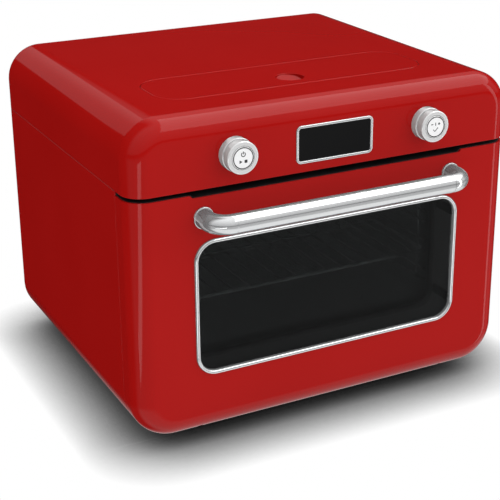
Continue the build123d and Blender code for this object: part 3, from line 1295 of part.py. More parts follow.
with BuildPart() as blower_wheel:
    with BuildSketch(Plane.XY.offset(WHEEL_LOW)):
        with Locations((0, BLOWER_Y)):
            Circle(WHEEL_R)
    extrude(amount=BLOWER_WALL)
    with BuildSketch(Plane.XY.offset(WHEEL_LOW + BLOWER_WALL)):
        with Locations((0, BLOWER_Y)):
            with PolarLocations(WHEEL_R - WHEEL_BLADE / 2, WHEEL_BLADES):
                Rectangle(WHEEL_BLADE - 2 * BLOWER_WALL, BLOWER_WALL, rotation=BLADE_SLANT)
    extrude(amount=WHEEL_HEIGHT - 2 * BLOWER_WALL)
    with BuildSketch(Plane.XY.offset(WHEEL_TOP - BLOWER_WALL)):
        with Locations((0, BLOWER_Y)):
            Circle(WHEEL_R)
            Circle(WHEEL_R - WHEEL_BLADE, mode=Mode.SUBTRACT)
    extrude(amount=BLOWER_WALL)
    with BuildSketch(Plane.XY.offset(WHEEL_LOW)):
        with Locations((0, BLOWER_Y)):
            Circle(SHAFT_R)
    extrude(amount=WHEEL_HEIGHT / 2 + WHEEL_HEIGHT / 3)
    with BuildSketch(Plane.XY.offset(WHEEL_LOW)):
        with Locations((0, BLOWER_Y)):
            Circle(3 * SHAFT_R)
    extrude(amount=WHEEL_HEIGHT / 3)
keep(blower_wheel, "blower_wheel")

# Steam generator and water pump on the base plate
BOILER_Y = FRONT + BOILER_DEPTH
PUMP_Y = FRONT + PUMP_DEPTH
BOILER_TOP = FLOOR_Z + BOILER_SIZE[2]
with BuildPart() as steam_generator:
    with BuildSketch(Plane.XY.offset(FLOOR_Z)):
        with Locations((BOILER_X, BOILER_Y)):
            RectangleRounded(BOILER_SIZE[0], BOILER_SIZE[1], BOILER_SIZE[1] / 5)
    extrude(amount=BOILER_SIZE[2])
    with BuildSketch(Plane.XY.offset(FLOOR_Z + BOILER_SIZE[2] / 3)):
        with Locations((BOILER_X, BOILER_Y)):
            RectangleRounded(
                BOILER_SIZE[0] + 2 * BOILER_RIM,
                BOILER_SIZE[1] + 2 * BOILER_RIM,
                BOILER_SIZE[1] / 5 + BOILER_RIM,
            )
    extrude(amount=BOILER_SIZE[2] / 6)
keep(steam_generator, "steam_generator")

with BuildPart() as water_pump:
    with BuildSketch(Plane.XY.offset(FLOOR_Z)):
        with Locations((PUMP_X, PUMP_Y)):
            RectangleRounded(PUMP_SIZE[0] / 2, PUMP_SIZE[1], PUMP_SIZE[1] / 8)
    extrude(amount=PUMP_SIZE[2])
    with BuildSketch(Plane.YZ.offset(PUMP_X - PUMP_SIZE[0] / 2)):
        with Locations((PUMP_Y, FLOOR_Z + PUMP_SIZE[2] / 2)):
            Circle(PUMP_SIZE[2] / 3)
    extrude(amount=PUMP_SIZE[0])
keep(water_pump, "water_pump")

# Hoses: from the tank's socket down the right side to the pump, and on to the generator
PUMP_OUT = PUMP_X - PUMP_SIZE[0] / 2
PUMP_IN = PUMP_X + PUMP_SIZE[0] / 2
BOILER_IN = BOILER_X + BOILER_SIZE[0] / 2
PUMP_MID_Z = FLOOR_Z + PUMP_SIZE[2] / 2
HOSE_LEVEL = DECK_TOP + HOSE_R + BODY_GAP
DOCK_BEND_R = DOCK_BOTTOM - HOSE_LEVEL - BODY_GAP
feed_points = [
    (DOCK_X, DOCK_Y, DOCK_BOTTOM),
    (DOCK_X, DOCK_Y, HOSE_LEVEL),
    (HOSE_X, DOCK_Y, HOSE_LEVEL),
    (HOSE_X, DOCK_Y, PUMP_MID_Z),
    (HOSE_X, PUMP_Y, PUMP_MID_Z),
    (PUMP_IN, PUMP_Y, PUMP_MID_Z),
]
with BuildPart() as water_hoses:
    add(tube_along(feed_points, [DOCK_BEND_R, BEND_R, BEND_R, BEND_R], HOSE_R, HOSE_BORE_R))
    with BuildSketch(Plane.YZ.offset(BOILER_IN + BOILER_RIM)):
        with Locations((PUMP_Y, PUMP_MID_Z)):
            Circle(HOSE_R)
            Circle(HOSE_BORE_R, mode=Mode.SUBTRACT)
    extrude(amount=PUMP_OUT - BOILER_IN - BOILER_RIM)
keep(water_hoses, "water_hoses")

# Steam pipe: from the generator up the left side and in through the wall
STEAM_OUT = BOILER_X - BOILER_SIZE[0] / 2
STEAM_Z = BOILER_TOP - 2 * PIPE_R
steam_points = [
    (STEAM_OUT, BOILER_Y, STEAM_Z),
    (-PIPE_X, BOILER_Y, STEAM_Z),
    (-PIPE_X, BOILER_Y, NOZZLE_Z),
    (-PIPE_X, NOZZLE_Y, NOZZLE_Z),
    (-CAVITY_HALF_W, NOZZLE_Y, NOZZLE_Z),
]
with BuildPart() as steam_pipe:
    add(tube_along(steam_points, [BEND_R] * 3, PIPE_R, PIPE_R - PANEL_SHEET))
keep(steam_pipe, "steam_pipe")

with BuildPart() as steam_nozzle:
    with BuildSketch(Plane.YZ.offset(-CAVITY_HALF_W)):
        with Locations((NOZZLE_Y, NOZZLE_Z)):
            Circle(NOZZLE_R)
            Circle(PIPE_R - PANEL_SHEET, mode=Mode.SUBTRACT)
    extrude(amount=NOZZLE_PROUD)
    fillet(steam_nozzle.faces().sort_by(Axis.X)[-1].edges(), radius=NOZZLE_PROUD / 4)
keep(steam_nozzle, "steam_nozzle")

# Power board on short posts at the left of the deck
POWER_Y = FRONT + POWER_BOARD_DEPTH
POWER_Z = DECK_TOP + POWER_BOARD_LIFT
with BuildPart() as power_board:
    with BuildSketch(Plane.XY.offset(DECK_TOP)):
        with Locations((POWER_BOARD_X, POWER_Y)):
            with GridLocations(POWER_BOARD_SIZE[0] - 4 * SWITCH_R, POWER_BOARD_SIZE[1] - 4 * SWITCH_R, 2, 2):
                Circle(SWITCH_R)
    extrude(amount=POWER_BOARD_LIFT)
    with BuildSketch(Plane.XY.offset(POWER_Z)):
        with Locations((POWER_BOARD_X, POWER_Y)):
            Rectangle(*POWER_BOARD_SIZE)
    extrude(amount=BOARD_THICK)
    with BuildSketch(Plane.XY.offset(POWER_Z + BOARD_THICK)):
        with Locations((POWER_BOARD_X - POWER_BLOCK / 2, POWER_Y - POWER_BLOCK)):
            Rectangle(POWER_BLOCK, POWER_BLOCK)
    extrude(amount=0.8 * POWER_BLOCK)
    with BuildSketch(Plane.XY.offset(POWER_Z + BOARD_THICK)):
        with Locations((POWER_BOARD_X + POWER_BLOCK / 2, POWER_Y + POWER_BLOCK / 2)):
            with GridLocations(0.8 * POWER_BLOCK, 0.8 * POWER_BLOCK, 2, 3):
                Rectangle(0.5 * POWER_BLOCK, 0.6 * POWER_BLOCK)
    extrude(amount=0.45 * POWER_BLOCK)
    with BuildSketch(Plane.XY.offset(POWER_Z + BOARD_THICK)):
        with Locations((POWER_BOARD_X + POWER_BLOCK, POWER_Y - POWER_BLOCK)):
            with GridLocations(1, 0.9 * POWER_BLOCK, 1, 2):
                Circle(0.3 * POWER_BLOCK)
    extrude(amount=0.7 * POWER_BLOCK)
keep(power_board, "power_board")

# Power inlet: a flanged socket with three blades, set in the rear panel
INLET_IN = (INLET_WIDTH - INLET_RIM, INLET_HEIGHT - INLET_RIM)
INLET_CUP = (INLET_IN[0] - 2 * INLET_WALL, INLET_IN[1] - 2 * INLET_WALL)
with BuildPart() as power_inlet:
    with BuildSketch(Plane.XZ.offset(-PANEL_Y)):
        with Locations((INLET_X, INLET_Z)):
            RectangleRounded(INLET_WIDTH, INLET_HEIGHT, INLET_RIM / 2)
    extrude(amount=-SHELL_WALL)
    with BuildSketch(Plane.XZ.offset(-PANEL_Y)):
        with Locations((INLET_X, INLET_Z)):
            Rectangle(*INLET_IN)
    extrude(amount=INLET_BODY)
    with BuildSketch(Plane.XZ.offset(-BACK)):
        with Locations((INLET_X, INLET_Z)):
            Rectangle(*INLET_CUP)
    extrude(amount=INLET_RECESS, mode=Mode.SUBTRACT)
    with BuildSketch(Plane.XZ.offset(-(BACK - INLET_RECESS))):
        with Locations((INLET_X - INLET_PITCH, INLET_Z), (INLET_X + INLET_PITCH, INLET_Z)):
            Rectangle(*INLET_BLADE)
        with Locations((INLET_X, INLET_Z + INLET_PITCH / 2)):
            Rectangle(*INLET_BLADE)
    extrude(amount=-(INLET_RECESS - INLET_WALL))
keep(power_inlet, "power_inlet")

# Door switch behind the frame, with a plunger that feels the closed door
with BuildPart() as door_switch:
    with BuildSketch(upright(CAVITY_FRONT)):
        with Locations((DOOR_SWITCH_X, BASE + DOOR_SWITCH_LEVEL)):
            Rectangle(DOOR_SWITCH_SIZE[0], DOOR_SWITCH_SIZE[2])
    extrude(amount=-DOOR_SWITCH_SIZE[1])
    with BuildSketch(upright(CAVITY_FRONT)):
        with Locations((DOOR_SWITCH_X, BASE + DOOR_SWITCH_LEVEL)):
            Circle(SWITCH_R - BODY_GAP)
    extrude(amount=FRONT + CAVITY_FRONT - LINER_BACK - BODY_GAP)
keep(door_switch, "door_switch")
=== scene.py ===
"""The looks of a countertop steam oven, built round its packed construction.

Every length is in metres, in the construction's own frame: +Z is up, the door faces -Y and the
origin lies under the middle of the oven at the soles of its feet. Sizes that a piece shares with
the construction are read from the frame; what only the eye sees is a dataclass field here.
"""

import json
import logging
import math
from dataclasses import dataclass, field
from enum import Enum
from typing import Callable, Sequence, Union

import bmesh
import bpy
import numpy as np
from mathutils import Matrix, Vector
from mathutils.geometry import delaunay_2d_cdt

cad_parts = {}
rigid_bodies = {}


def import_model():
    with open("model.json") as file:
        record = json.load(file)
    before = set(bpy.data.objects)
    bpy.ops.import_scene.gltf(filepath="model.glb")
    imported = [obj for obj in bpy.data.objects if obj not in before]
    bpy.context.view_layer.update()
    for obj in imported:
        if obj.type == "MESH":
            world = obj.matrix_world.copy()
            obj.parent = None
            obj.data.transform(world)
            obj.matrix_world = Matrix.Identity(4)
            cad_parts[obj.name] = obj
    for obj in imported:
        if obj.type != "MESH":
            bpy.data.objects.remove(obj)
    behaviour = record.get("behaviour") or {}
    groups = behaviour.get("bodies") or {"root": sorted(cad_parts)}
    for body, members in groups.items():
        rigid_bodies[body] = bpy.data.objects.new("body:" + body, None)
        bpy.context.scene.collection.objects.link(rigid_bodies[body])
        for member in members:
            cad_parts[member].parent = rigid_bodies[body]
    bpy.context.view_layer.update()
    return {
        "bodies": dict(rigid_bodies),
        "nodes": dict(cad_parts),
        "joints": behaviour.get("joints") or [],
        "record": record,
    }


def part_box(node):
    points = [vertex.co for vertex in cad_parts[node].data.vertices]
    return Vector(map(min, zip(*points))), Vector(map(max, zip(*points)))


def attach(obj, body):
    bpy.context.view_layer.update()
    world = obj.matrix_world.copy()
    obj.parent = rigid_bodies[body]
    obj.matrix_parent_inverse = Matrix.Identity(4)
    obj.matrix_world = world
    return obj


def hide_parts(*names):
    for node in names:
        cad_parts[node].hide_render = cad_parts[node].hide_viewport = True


LOG = logging.getLogger("steam_oven")
MM = 0.001

# Vertices nearer than the first length become one; spans below the second count as nothing.
WELD = 2e-5
TINY = 1e-7

# Segments round a turned piece.
TURN_STEPS = 96

# Edges sharper than this many degrees are rounded, and large faces weigh this much in the normals.
SHARP_EDGE = 30.0
FACE_WEIGHT = 60

# The part of an effect's mask over which a finish passes from its dark to its light colour.
MASK_RANGE = (0.35, 0.65)

Loop = np.ndarray
Pair = tuple[float, float]
Triple = tuple[float, float, float]
Feed = Union[bpy.types.NodeSocket, float, tuple]


class Side(Enum):
    """Which side of the oven a mirrored piece stands on, as the sign of its x."""

    LEFT = -1
    RIGHT = 1

    @property
    def word(self) -> str:
        """The side's name in lower case."""
        return self.name.lower()


class Plane(Enum):
    """The plane that flat points lie in, as the number of the axis that it crosses."""

    FRONT = 1
    LEVEL = 2

    def place(self, points: np.ndarray, at: float) -> np.ndarray:
        """Sets (n, 2) flat points at one place along the crossed axis, as (n, 3) points."""
        return np.insert(points, self.value, at, axis=1)


# Surfaces as arrays


@dataclass
class Surface:
    """A mesh being gathered from patches, as vertex arrays and face lists.

    Args:
        points: Patch vertices, one (n, 3) array each.
        faces: Vertex numbers of each face, counted over all patches.
        count: Number of vertices so far.
    """

    points: list[np.ndarray] = field(default_factory=list)
    faces: list[tuple[int, ...]] = field(default_factory=list)
    count: int = 0

    def grid(self, patch: np.ndarray, closed_u: bool = False, closed_v: bool = False) -> "Surface":
        """Adds a grid patch: neighbours in u and v are joined by quads.

        Args:
            patch: (u, v, 3) points.
            closed_u: Join the last row in u to the first.
            closed_v: Join the last column in v to the first.

        Returns:
            This surface.
        """
        rows, columns = patch.shape[:2]
        number = np.arange(rows * columns).reshape(rows, columns) + self.count
        if closed_u:
            number = np.concatenate([number, number[:1]])
        if closed_v:
            number = np.concatenate([number, number[:, :1]], axis=1)
        quads = np.stack(
            [number[:-1, :-1], number[1:, :-1], number[1:, 1:], number[:-1, 1:]], axis=-1
        ).reshape(-1, 4)
        self.points.append(patch.reshape(-1, 3))
        self.faces.extend(map(tuple, quads.tolist()))
        self.count += rows * columns
        return self

    def fan(self, ring: np.ndarray) -> "Surface":
        """Closes a ring of points with one flat face.

        Args:
            ring: (n, 3) points in order.

        Returns:
            This surface.
        """
        self.points.append(ring)
        self.faces.append(tuple(range(self.count, self.count + len(ring))))
        self.count += len(ring)
        return self

    def barrel(self, patch: np.ndarray) -> "Surface":
        """Adds a grid patch that closes in u, with a flat face over each of its ends."""
        return self.grid(patch, closed_u=True).fan(patch[:, 0]).fan(patch[:, -1])

    def flat(self, loops: Sequence[Loop], plane: Plane, at: float) -> "Surface":
        """Fills a flat region that may have holes, by constrained Delaunay triangles.

        Args:
            loops: The outline and then its holes, as (n, 2) arrays.
            plane: The plane that the region lies in.
            at: Place of that plane.

        Returns:
            This surface.
        """
        edges, start = [], 0
        for loop in loops:
            size = len(loop)
            edges += [(start + i, start + (i + 1) % size) for i in range(size)]
            start += size
        given = [Vector(point) for point in np.concatenate(loops).tolist()]
        verts, _, found, *_ = delaunay_2d_cdt(given, edges, [], 1, TINY)
        xy = np.array([tuple(vert) for vert in verts])
        tris = np.array(found)
        middle = xy[tris].mean(1)
        inside = _inside(loops[0], middle)
        for hole in loops[1:]:
            inside &= ~_inside(hole, middle)
        a, b, c = xy[tris].transpose(1, 0, 2)
        area = (b - a)[:, 0] * (c - a)[:, 1] - (b - a)[:, 1] * (c - a)[:, 0]
        tris[area < 0] = tris[area < 0, ::-1]
        self.points.append(plane.place(xy, at))
        self.faces.extend(map(tuple, (tris[inside] + self.count).tolist()))
        self.count += len(xy)
        return self

    def mesh(self, name: str) -> bpy.types.Object:
        """Makes the Blender object at the origin: doubles merged, then faces turned outwards.

        Args:
            name: The object's name.

        Returns:
            The new object, linked to the scene.
        """
        data = bpy.data.meshes.new(name)
        data.from_pydata(np.concatenate(self.points).tolist(), [], self.faces)
        work = bmesh.new()
        work.from_mesh(data)
        bmesh.ops.remove_doubles(work, verts=work.verts, dist=WELD)
        bmesh.ops.dissolve_degenerate(work, edges=work.edges, dist=TINY)
        bmesh.ops.recalc_face_normals(work, faces=work.faces)
        work.to_mesh(data)
        work.free()
        made = bpy.data.objects.new(name, data)
        bpy.context.scene.collection.objects.link(made)
        return made


def _inside(loop: Loop, points: np.ndarray) -> np.ndarray:
    """Tells which points lie in a loop, by counting the sides crossed by a ray.

    Args:
        loop: (n, 2) outline.
        points: (m, 2) points.

    Returns:
        (m,) booleans.
    """
    a, b = loop[None], np.roll(loop, -1, 0)[None]
    p = points[:, None]
    spans = (a[..., 1] > p[..., 1]) != (b[..., 1] > p[..., 1])
    rise = np.where(spans, b[..., 1] - a[..., 1], 1.0)
    cross = a[..., 0] + (p[..., 1] - a[..., 1]) * (b[..., 0] - a[..., 0]) / rise
    return (spans & (p[..., 0] < cross)).sum(1) % 2 == 1


def arc(centre: Pair, radius: float, start: float, end: float, steps: int) -> np.ndarray:
    """Points of an arc: centre + radius (cos t, sin t).

    Args:
        centre: Its middle.
        radius: Its radius.
        start: First angle t, in degrees.
        end: Last angle, in degrees.
        steps: Segments between them.

    Returns:
        (steps + 1, 2) points.
    """
    t = np.radians(np.linspace(start, end, steps + 1))
    return np.stack([centre[0] + radius * np.cos(t), centre[1] + radius * np.sin(t)], 1)


def circle(centre: Pair, radius: float, steps: int) -> Loop:
    """A full circle of points, without a repeated end."""
    return arc(centre, radius, 0, 360, steps)[:-1]


def quarter(radius: float, steps: int) -> np.ndarray:
    """A quarter round: radius (1 - sin t, 1 - cos t), from (radius, 0) to (0, radius)."""
    t = np.radians(np.linspace(0, 90, steps + 1))
    return radius * np.stack([1 - np.sin(t), 1 - np.cos(t)], 1)


def full_turn(steps: int) -> np.ndarray:
    """Angles round a full turn, as a (steps, 1) column without a repeated end."""
    return np.linspace(0, 2 * np.pi, steps, endpoint=False)[:, None]


def rounded_loop(width: float, height: float, radius: float, centre: Pair, steps: int) -> Loop:
    """A rounded rectangle, anticlockwise from its lower right corner.

    Args:
        width: Full width.
        height: Full height.
        radius: Corner radius.
        centre: Middle point.
        steps: Segments per corner.

    Returns:
        (n, 2) closed loop without a repeated end.
    """
    x, z = width / 2 - radius, height / 2 - radius
    turns = [(x, -z, -90), (x, z, 0), (-x, z, 90), (-x, -z, 180)]
    return np.concatenate(
        [arc((centre[0] + x, centre[1] + z), radius, a, a + 90, steps) for x, z, a in turns]
    )


def line_normals(line: np.ndarray) -> np.ndarray:
    """Unit normals to the right of an open line's running direction, from central differences.

    Args:
        line: (n, 2) points.

    Returns:
        (n, 2) normals.
    """
    along = np.gradient(line, axis=0)
    normal = np.stack([along[:, 1], -along[:, 0]], 1)
    return normal / np.linalg.norm(normal, axis=1, keepdims=True)


def framed(size: Triple, centre: Pair, profile: np.ndarray, steps: int) -> np.ndarray:
    """Carries a profile round a rounded rectangle in the front view.

    Each profile point (inset, y) gives the rectangle made smaller by the inset, at depth y. A
    corner keeps its centre, so its radius shrinks by the inset.

    Args:
        size: Width, height and corner radius before the inset.
        centre: Middle point (x, z).
        profile: (m, 2) points of inset and depth.
        steps: Segments per corner.

    Returns:
        (n, m, 3) grid, closed in its first direction.
    """
    width, height, corner = size
    rings = []
    for inset, y in profile:
        radius = max(corner - inset, WELD / 2)
        ring = rounded_loop(width - 2 * inset, height - 2 * inset, radius, centre, steps)
        rings.append(Plane.FRONT.place(ring, y))
    return np.stack(rings, 1)


def turned(middle: Pair, profile: np.ndarray) -> np.ndarray:
    """Turns a profile about an axis along Y: (x + radius cos t, y, z + radius sin t).

    Args:
        middle: Place and height (x, z) of the axis.
        profile: (m, 2) points of radius and y.

    Returns:
        (n, m, 3) grid, closed in its first direction.
    """
    t = full_turn(TURN_STEPS)
    x = middle[0] + profile[:, 0] * np.cos(t)
    z = middle[1] + profile[:, 0] * np.sin(t)
    return np.stack([x, np.broadcast_to(profile[:, 1], x.shape), z], -1)


def tube(path: np.ndarray, radius: float, steps: int) -> np.ndarray:
    """A round tube: path point + radius (cos t side + sin t across).

    The side is the upright made square to the path, and across is square to both, so that the
    tube doesn't twist along a path that stays level.

    Args:
        path: (n, 3) centre line.
        radius: Tube radius.
        steps: Segments round the tube.

    Returns:
        (steps, n, 3) grid, closed in its first direction.
    """
    along = np.gradient(path, axis=0)
    along /= np.linalg.norm(along, axis=1, keepdims=True)
    side = np.array([0.0, 0.0, 1.0]) - along * along[:, 2:]
    side /= np.linalg.norm(side, axis=1, keepdims=True)
    t = full_turn(steps)[:, :, None]
    return path + radius * (np.cos(t) * side + np.sin(t) * np.cross(along, side))


def bent(points: Sequence[Triple], radius: float, steps: int) -> np.ndarray:
    """A path of straight runs with an arc of the given radius at each inner corner.

    An arc's points weigh its two end spokes by sin((1 - t) s) / sin s and sin(t s) / sin s, where s
    is the angle that it swings through and t runs from 0 to 1.

    Args:
        points: Corner points.
        radius: Bend radius.
        steps: Segments per bend.

    Returns:
        (n, 3) path.
    """
    corner = np.array(points, float)
    t = np.linspace(0, 1, steps + 1)[:, None]
    path = [corner[:1]]
    for before, here, after in zip(corner[:-2], corner[1:-1], corner[2:]):
        a, b = before - here, after - here
        a, b = a / np.linalg.norm(a), b / np.linalg.norm(b)
        half = math.acos(np.clip(a @ b, -1, 1)) / 2
        reach = radius / math.tan(half)
        middle = here + (a + b) / np.linalg.norm(a + b) * radius / math.sin(half)
        start, end = here + a * reach - middle, here + b * reach - middle
        swing = math.pi - 2 * half
        spokes = np.sin((1 - t) * swing) * start + np.sin(t * swing) * end
        path.append(middle + spokes / math.sin(swing))
    return np.concatenate([*path, corner[-1:]])


def front_middle(low: Vector, high: Vector) -> Pair:
    """Middle (x, z) of a box in the front view."""
    return (low.x + high.x) / 2, (low.z + high.z) / 2


def front_size(low: Vector, high: Vector, less: float = 0.0) -> Pair:
    """Width and height of a box in the front view, each less a margin."""
    return high.x - low.x - less, high.z - low.z - less


# Shader nodes, groups and finishes


def feed(tree: bpy.types.NodeTree, slot: bpy.types.NodeSocket, value: Feed) -> None:
    """Links a socket into a slot, or sets the slot to a fixed value."""
    if isinstance(value, bpy.types.NodeSocket):
        tree.links.new(value, slot)
    else:
        slot.default_value = value


def feed_all(tree: bpy.types.NodeTree, node: bpy.types.Node, values: dict[str, Feed]) -> None:
    """Feeds several named inputs of a node."""
    for label, value in values.items():
        feed(tree, node.inputs[label], value)


def math_node(tree: bpy.types.NodeTree, operation: str, *values: Feed) -> bpy.types.NodeSocket:
    """Adds a Math node.

    Args:
        tree: Where it goes.
        operation: What it does.
        *values: Its inputs in order.

    Returns:
        The socket with its result.
    """
    node = tree.nodes.new("ShaderNodeMath")
    node.operation = operation
    for slot, value in zip(node.inputs, values):
        feed(tree, slot, value)
    return node.outputs["Value"]


def dot_node(tree: bpy.types.NodeTree, first: Feed, second: Feed) -> bpy.types.NodeSocket:
    """Adds a dot product of two directions.

    Args:
        tree: Where it goes.
        first: One direction.
        second: The other.

    Returns:
        The socket with the product.
    """
    node = tree.nodes.new("ShaderNodeVectorMath")
    node.operation = "DOT_PRODUCT"
    feed(tree, node.inputs[0], first)
    feed(tree, node.inputs[1], second)
    return node.outputs["Value"]


def mix_node(tree: bpy.types.NodeTree, share: Feed, first: Feed, second: Feed) -> bpy.types.NodeSocket:
    """Adds a mix of two values.

    Args:
        tree: Where it goes.
        share: Share of the second value.
        first: The value where the share is 0.
        second: The value where the share is 1.

    Returns:
        The socket with the mixed value.
    """
    node = tree.nodes.new("ShaderNodeMix")
    feed_all(tree, node, {"Factor": share, "A": first, "B": second})
    return node.outputs["Result"]


def noise_node(
    tree: bpy.types.NodeTree, place: bpy.types.NodeSocket, scale: Feed, detail: float
) -> bpy.types.NodeSocket:
    """Adds a noise texture.

    Args:
        tree: Where it goes.
        place: Socket with the place that is looked up.
        scale: Scale of the noise.
        detail: How much finer noise is added.

    Returns:
        The socket with the noise, from 0 to 1.
    """
    node = tree.nodes.new("ShaderNodeTexNoise")
    feed_all(tree, node, {"Vector": place, "Scale": scale, "Detail": detail})
    return node.outputs["Fac"]


def range_node(
    tree: bpy.types.NodeTree, value: Feed, start: Feed, end: Feed, low: float = 0.0, high: float = 1.0
) -> bpy.types.Node:
    """Adds a node that carries the range from start to end onto that from low to high, clamped.

    Args:
        tree: Where it goes.
        value: The value to carry over.
        start: Where the value's range begins.
        end: Where it ends.
        low: The result at the start.
        high: The result at the end.

    Returns:
        The node, whose "Result" is linear until its interpolation is changed.
    """
    node = tree.nodes.new("ShaderNodeMapRange")
    feed_all(tree, node, {"Value": value, "From Min": start, "From Max": end, "To Min": low, "To Max": high})
    return node


def ramp_node(
    tree: bpy.types.NodeTree, place: bpy.types.NodeSocket, stops: Sequence[tuple[float, Triple]]
) -> bpy.types.NodeSocket:
    """Adds a colour ramp.

    Args:
        tree: Where it goes.
        place: The socket that is looked up.
        stops: Positions from 0 to 1 with their colours, in order.

    Returns:
        The socket with the colour.
    """
    node = tree.nodes.new("ShaderNodeValToRGB")
    elements = node.color_ramp.elements
    for stop, (position, colour) in zip(elements, (stops[0], stops[-1])):
        stop.position = position
        stop.color = (*colour, 1)
    for position, colour in stops[1:-1]:
        elements.new(position).color = (*colour, 1)
    feed(tree, node.inputs["Fac"], place)
    return node.outputs["Color"]


def new_group(name: str, inputs: dict[str, Feed], outputs: dict[str, str]) -> bpy.types.NodeTree:
    """An empty shader group with float inputs and the named outputs; a tuple makes a vector input.

    Args:
        name: Group name.
        inputs: Input names and default values.
        outputs: Output names and socket types.

    Returns:
        The group's node tree, with its input and output nodes named "in" and "out".
    """
    tree = bpy.data.node_groups.new(name, "ShaderNodeTree")
    for label, value in inputs.items():
        kind = "NodeSocketVector" if isinstance(value, tuple) else "NodeSocketFloat"
        socket = tree.interface.new_socket(label, in_out="INPUT", socket_type=kind)
        socket.default_value = value
    for label, kind in outputs.items():
        tree.interface.new_socket(label, in_out="OUTPUT", socket_type=kind)
    tree.nodes.new("NodeGroupInput").name = "in"
    tree.nodes.new("NodeGroupOutput").name = "out"
    return tree


@dataclass
class EffectGroup:
    """A group that puts out an effect's normal and mask, from the place on the piece.

    It keeps its tree, the socket with the place and the socket with the wanted scale.

    Args:
        name: Group name.
        scale: Usual scale of its pattern.
        depth: Usual strength of its bump.
        bump: Height of that bump at full strength.
    """

    name: str
    scale: float
    depth: float
    bump: float
    tree: bpy.types.NodeTree = field(init=False)
    place: bpy.types.NodeSocket = field(init=False)
    wanted: bpy.types.NodeSocket = field(init=False)

    def __post_init__(self) -> None:
        """Makes the empty group, and finds the piece's place and the wanted scale."""
        outputs = {"Normal": "NodeSocketVector", "Mask": "NodeSocketFloat"}
        self.tree = new_group(self.name, {"Scale": self.scale, "Depth": self.depth}, outputs)
        self.place = self.tree.nodes.new("ShaderNodeTexCoord").outputs["Object"]
        self.wanted = self.tree.nodes["in"].outputs["Scale"]

    def lead_out(self, height: bpy.types.NodeSocket, mask: bpy.types.NodeSocket) -> None:
        """Bumps the normal by the height and leads it out with the mask.

        Args:
            height: Socket with the height.
            mask: Socket with the mask.
        """
        bump = self.tree.nodes.new("ShaderNodeBump")
        depth = self.tree.nodes["in"].outputs["Depth"]
        feed_all(self.tree, bump, {"Distance": self.bump, "Strength": depth, "Height": height})
        feed_all(self.tree, self.tree.nodes["out"], {"Normal": bump.outputs["Normal"], "Mask": mask})


def orange_peel_group(broad_scale: float = 9.0) -> None:
    """A sprayed coat's faint waviness: a fine noise for the normal, a broad one for the mask.

    Args:
        broad_scale: Scale of the broad noise.
    """
    group = EffectGroup("orange_peel", 260.0, 0.05, 0.12 * MM)
    fine = noise_node(group.tree, group.place, group.wanted, 2.0)
    group.lead_out(fine, noise_node(group.tree, group.place, broad_scale, 1.0))


def brushed_group(stretch: float = 60.0) -> None:
    """Fine lines along X: a noise drawn out so many times along them, for normal and mask.

    Args:
        stretch: How many times the noise is drawn out.
    """
    group = EffectGroup("brushed_lines", 40.0, 0.1, 0.1 * MM)
    drawn = group.tree.nodes.new("ShaderNodeMapping")
    feed_all(group.tree, drawn, {"Vector": group.place, "Scale": (1.0, stretch, stretch)})
    lines = noise_node(group.tree, drawn.outputs["Vector"], group.wanted, 4.0)
    group.lead_out(lines, lines)


def grain_group(cloud_scale: float = 35.0) -> None:
    """Moulded or cast grain: Voronoi cells for the normal, clouds of noise for the mask.

    Args:
        cloud_scale: Scale of the clouds.
    """
    group = EffectGroup("fine_grain", 900.0, 0.2, 0.2 * MM)
    cells = group.tree.nodes.new("ShaderNodeTexVoronoi")
    feed_all(group.tree, cells, {"Vector": group.place, "Scale": group.wanted})
    group.lead_out(cells.outputs["Distance"], noise_node(group.tree, group.place, cloud_scale, 2.0))


def soft_box_group(least_facing: float = 0.02) -> None:
    """A far rectangle as a mask: smooth steps in d.across / d.centre and d.up / d.centre.

    Args:
        least_facing: Directions with a smaller d.centre than this never meet it.
    """
    vector = (0.0, 0.0, 0.0)
    sides = {"Left": 0.0, "Right": 1.0, "Low": 0.0, "High": 1.0, "Edge": 0.01}
    axes = dict.fromkeys(("Direction", "Centre", "Across", "Up"), vector)
    tree = new_group("soft_box", axes | sides, {"Mask": "NodeSocketFloat"})
    given = tree.nodes["in"].outputs

    def step(value: bpy.types.NodeSocket, limit: str) -> bpy.types.NodeSocket:
        """A smooth step from 0 to 1 where the value passes the limit.

        Args:
            value: Socket with the value.
            limit: Name of the input with the limit.

        Returns:
            The socket with the step.
        """
        start = math_node(tree, "SUBTRACT", given[limit], given["Edge"])
        end = math_node(tree, "ADD", given[limit], given["Edge"])
        node = range_node(tree, value, start, end)
        node.interpolation_type = "SMOOTHSTEP"
        return node.outputs["Result"]

    facing = dot_node(tree, given["Direction"], given["Centre"])
    mask = math_node(tree, "GREATER_THAN", facing, least_facing)
    for axis, low, high in (("Across", "Left", "Right"), ("Up", "Low", "High")):
        place = math_node(tree, "DIVIDE", dot_node(tree, given["Direction"], given[axis]), facing)
        band = math_node(tree, "SUBTRACT", step(place, low), step(place, high))
        mask = math_node(tree, "MULTIPLY", mask, band)
    feed(tree, tree.nodes["out"].inputs["Mask"], mask)


class Effect(Enum):
    """The surface effect that a finish shows close up."""

    PEEL = "orange_peel"
    BRUSHED = "brushed_lines"
    GRAIN = "fine_grain"


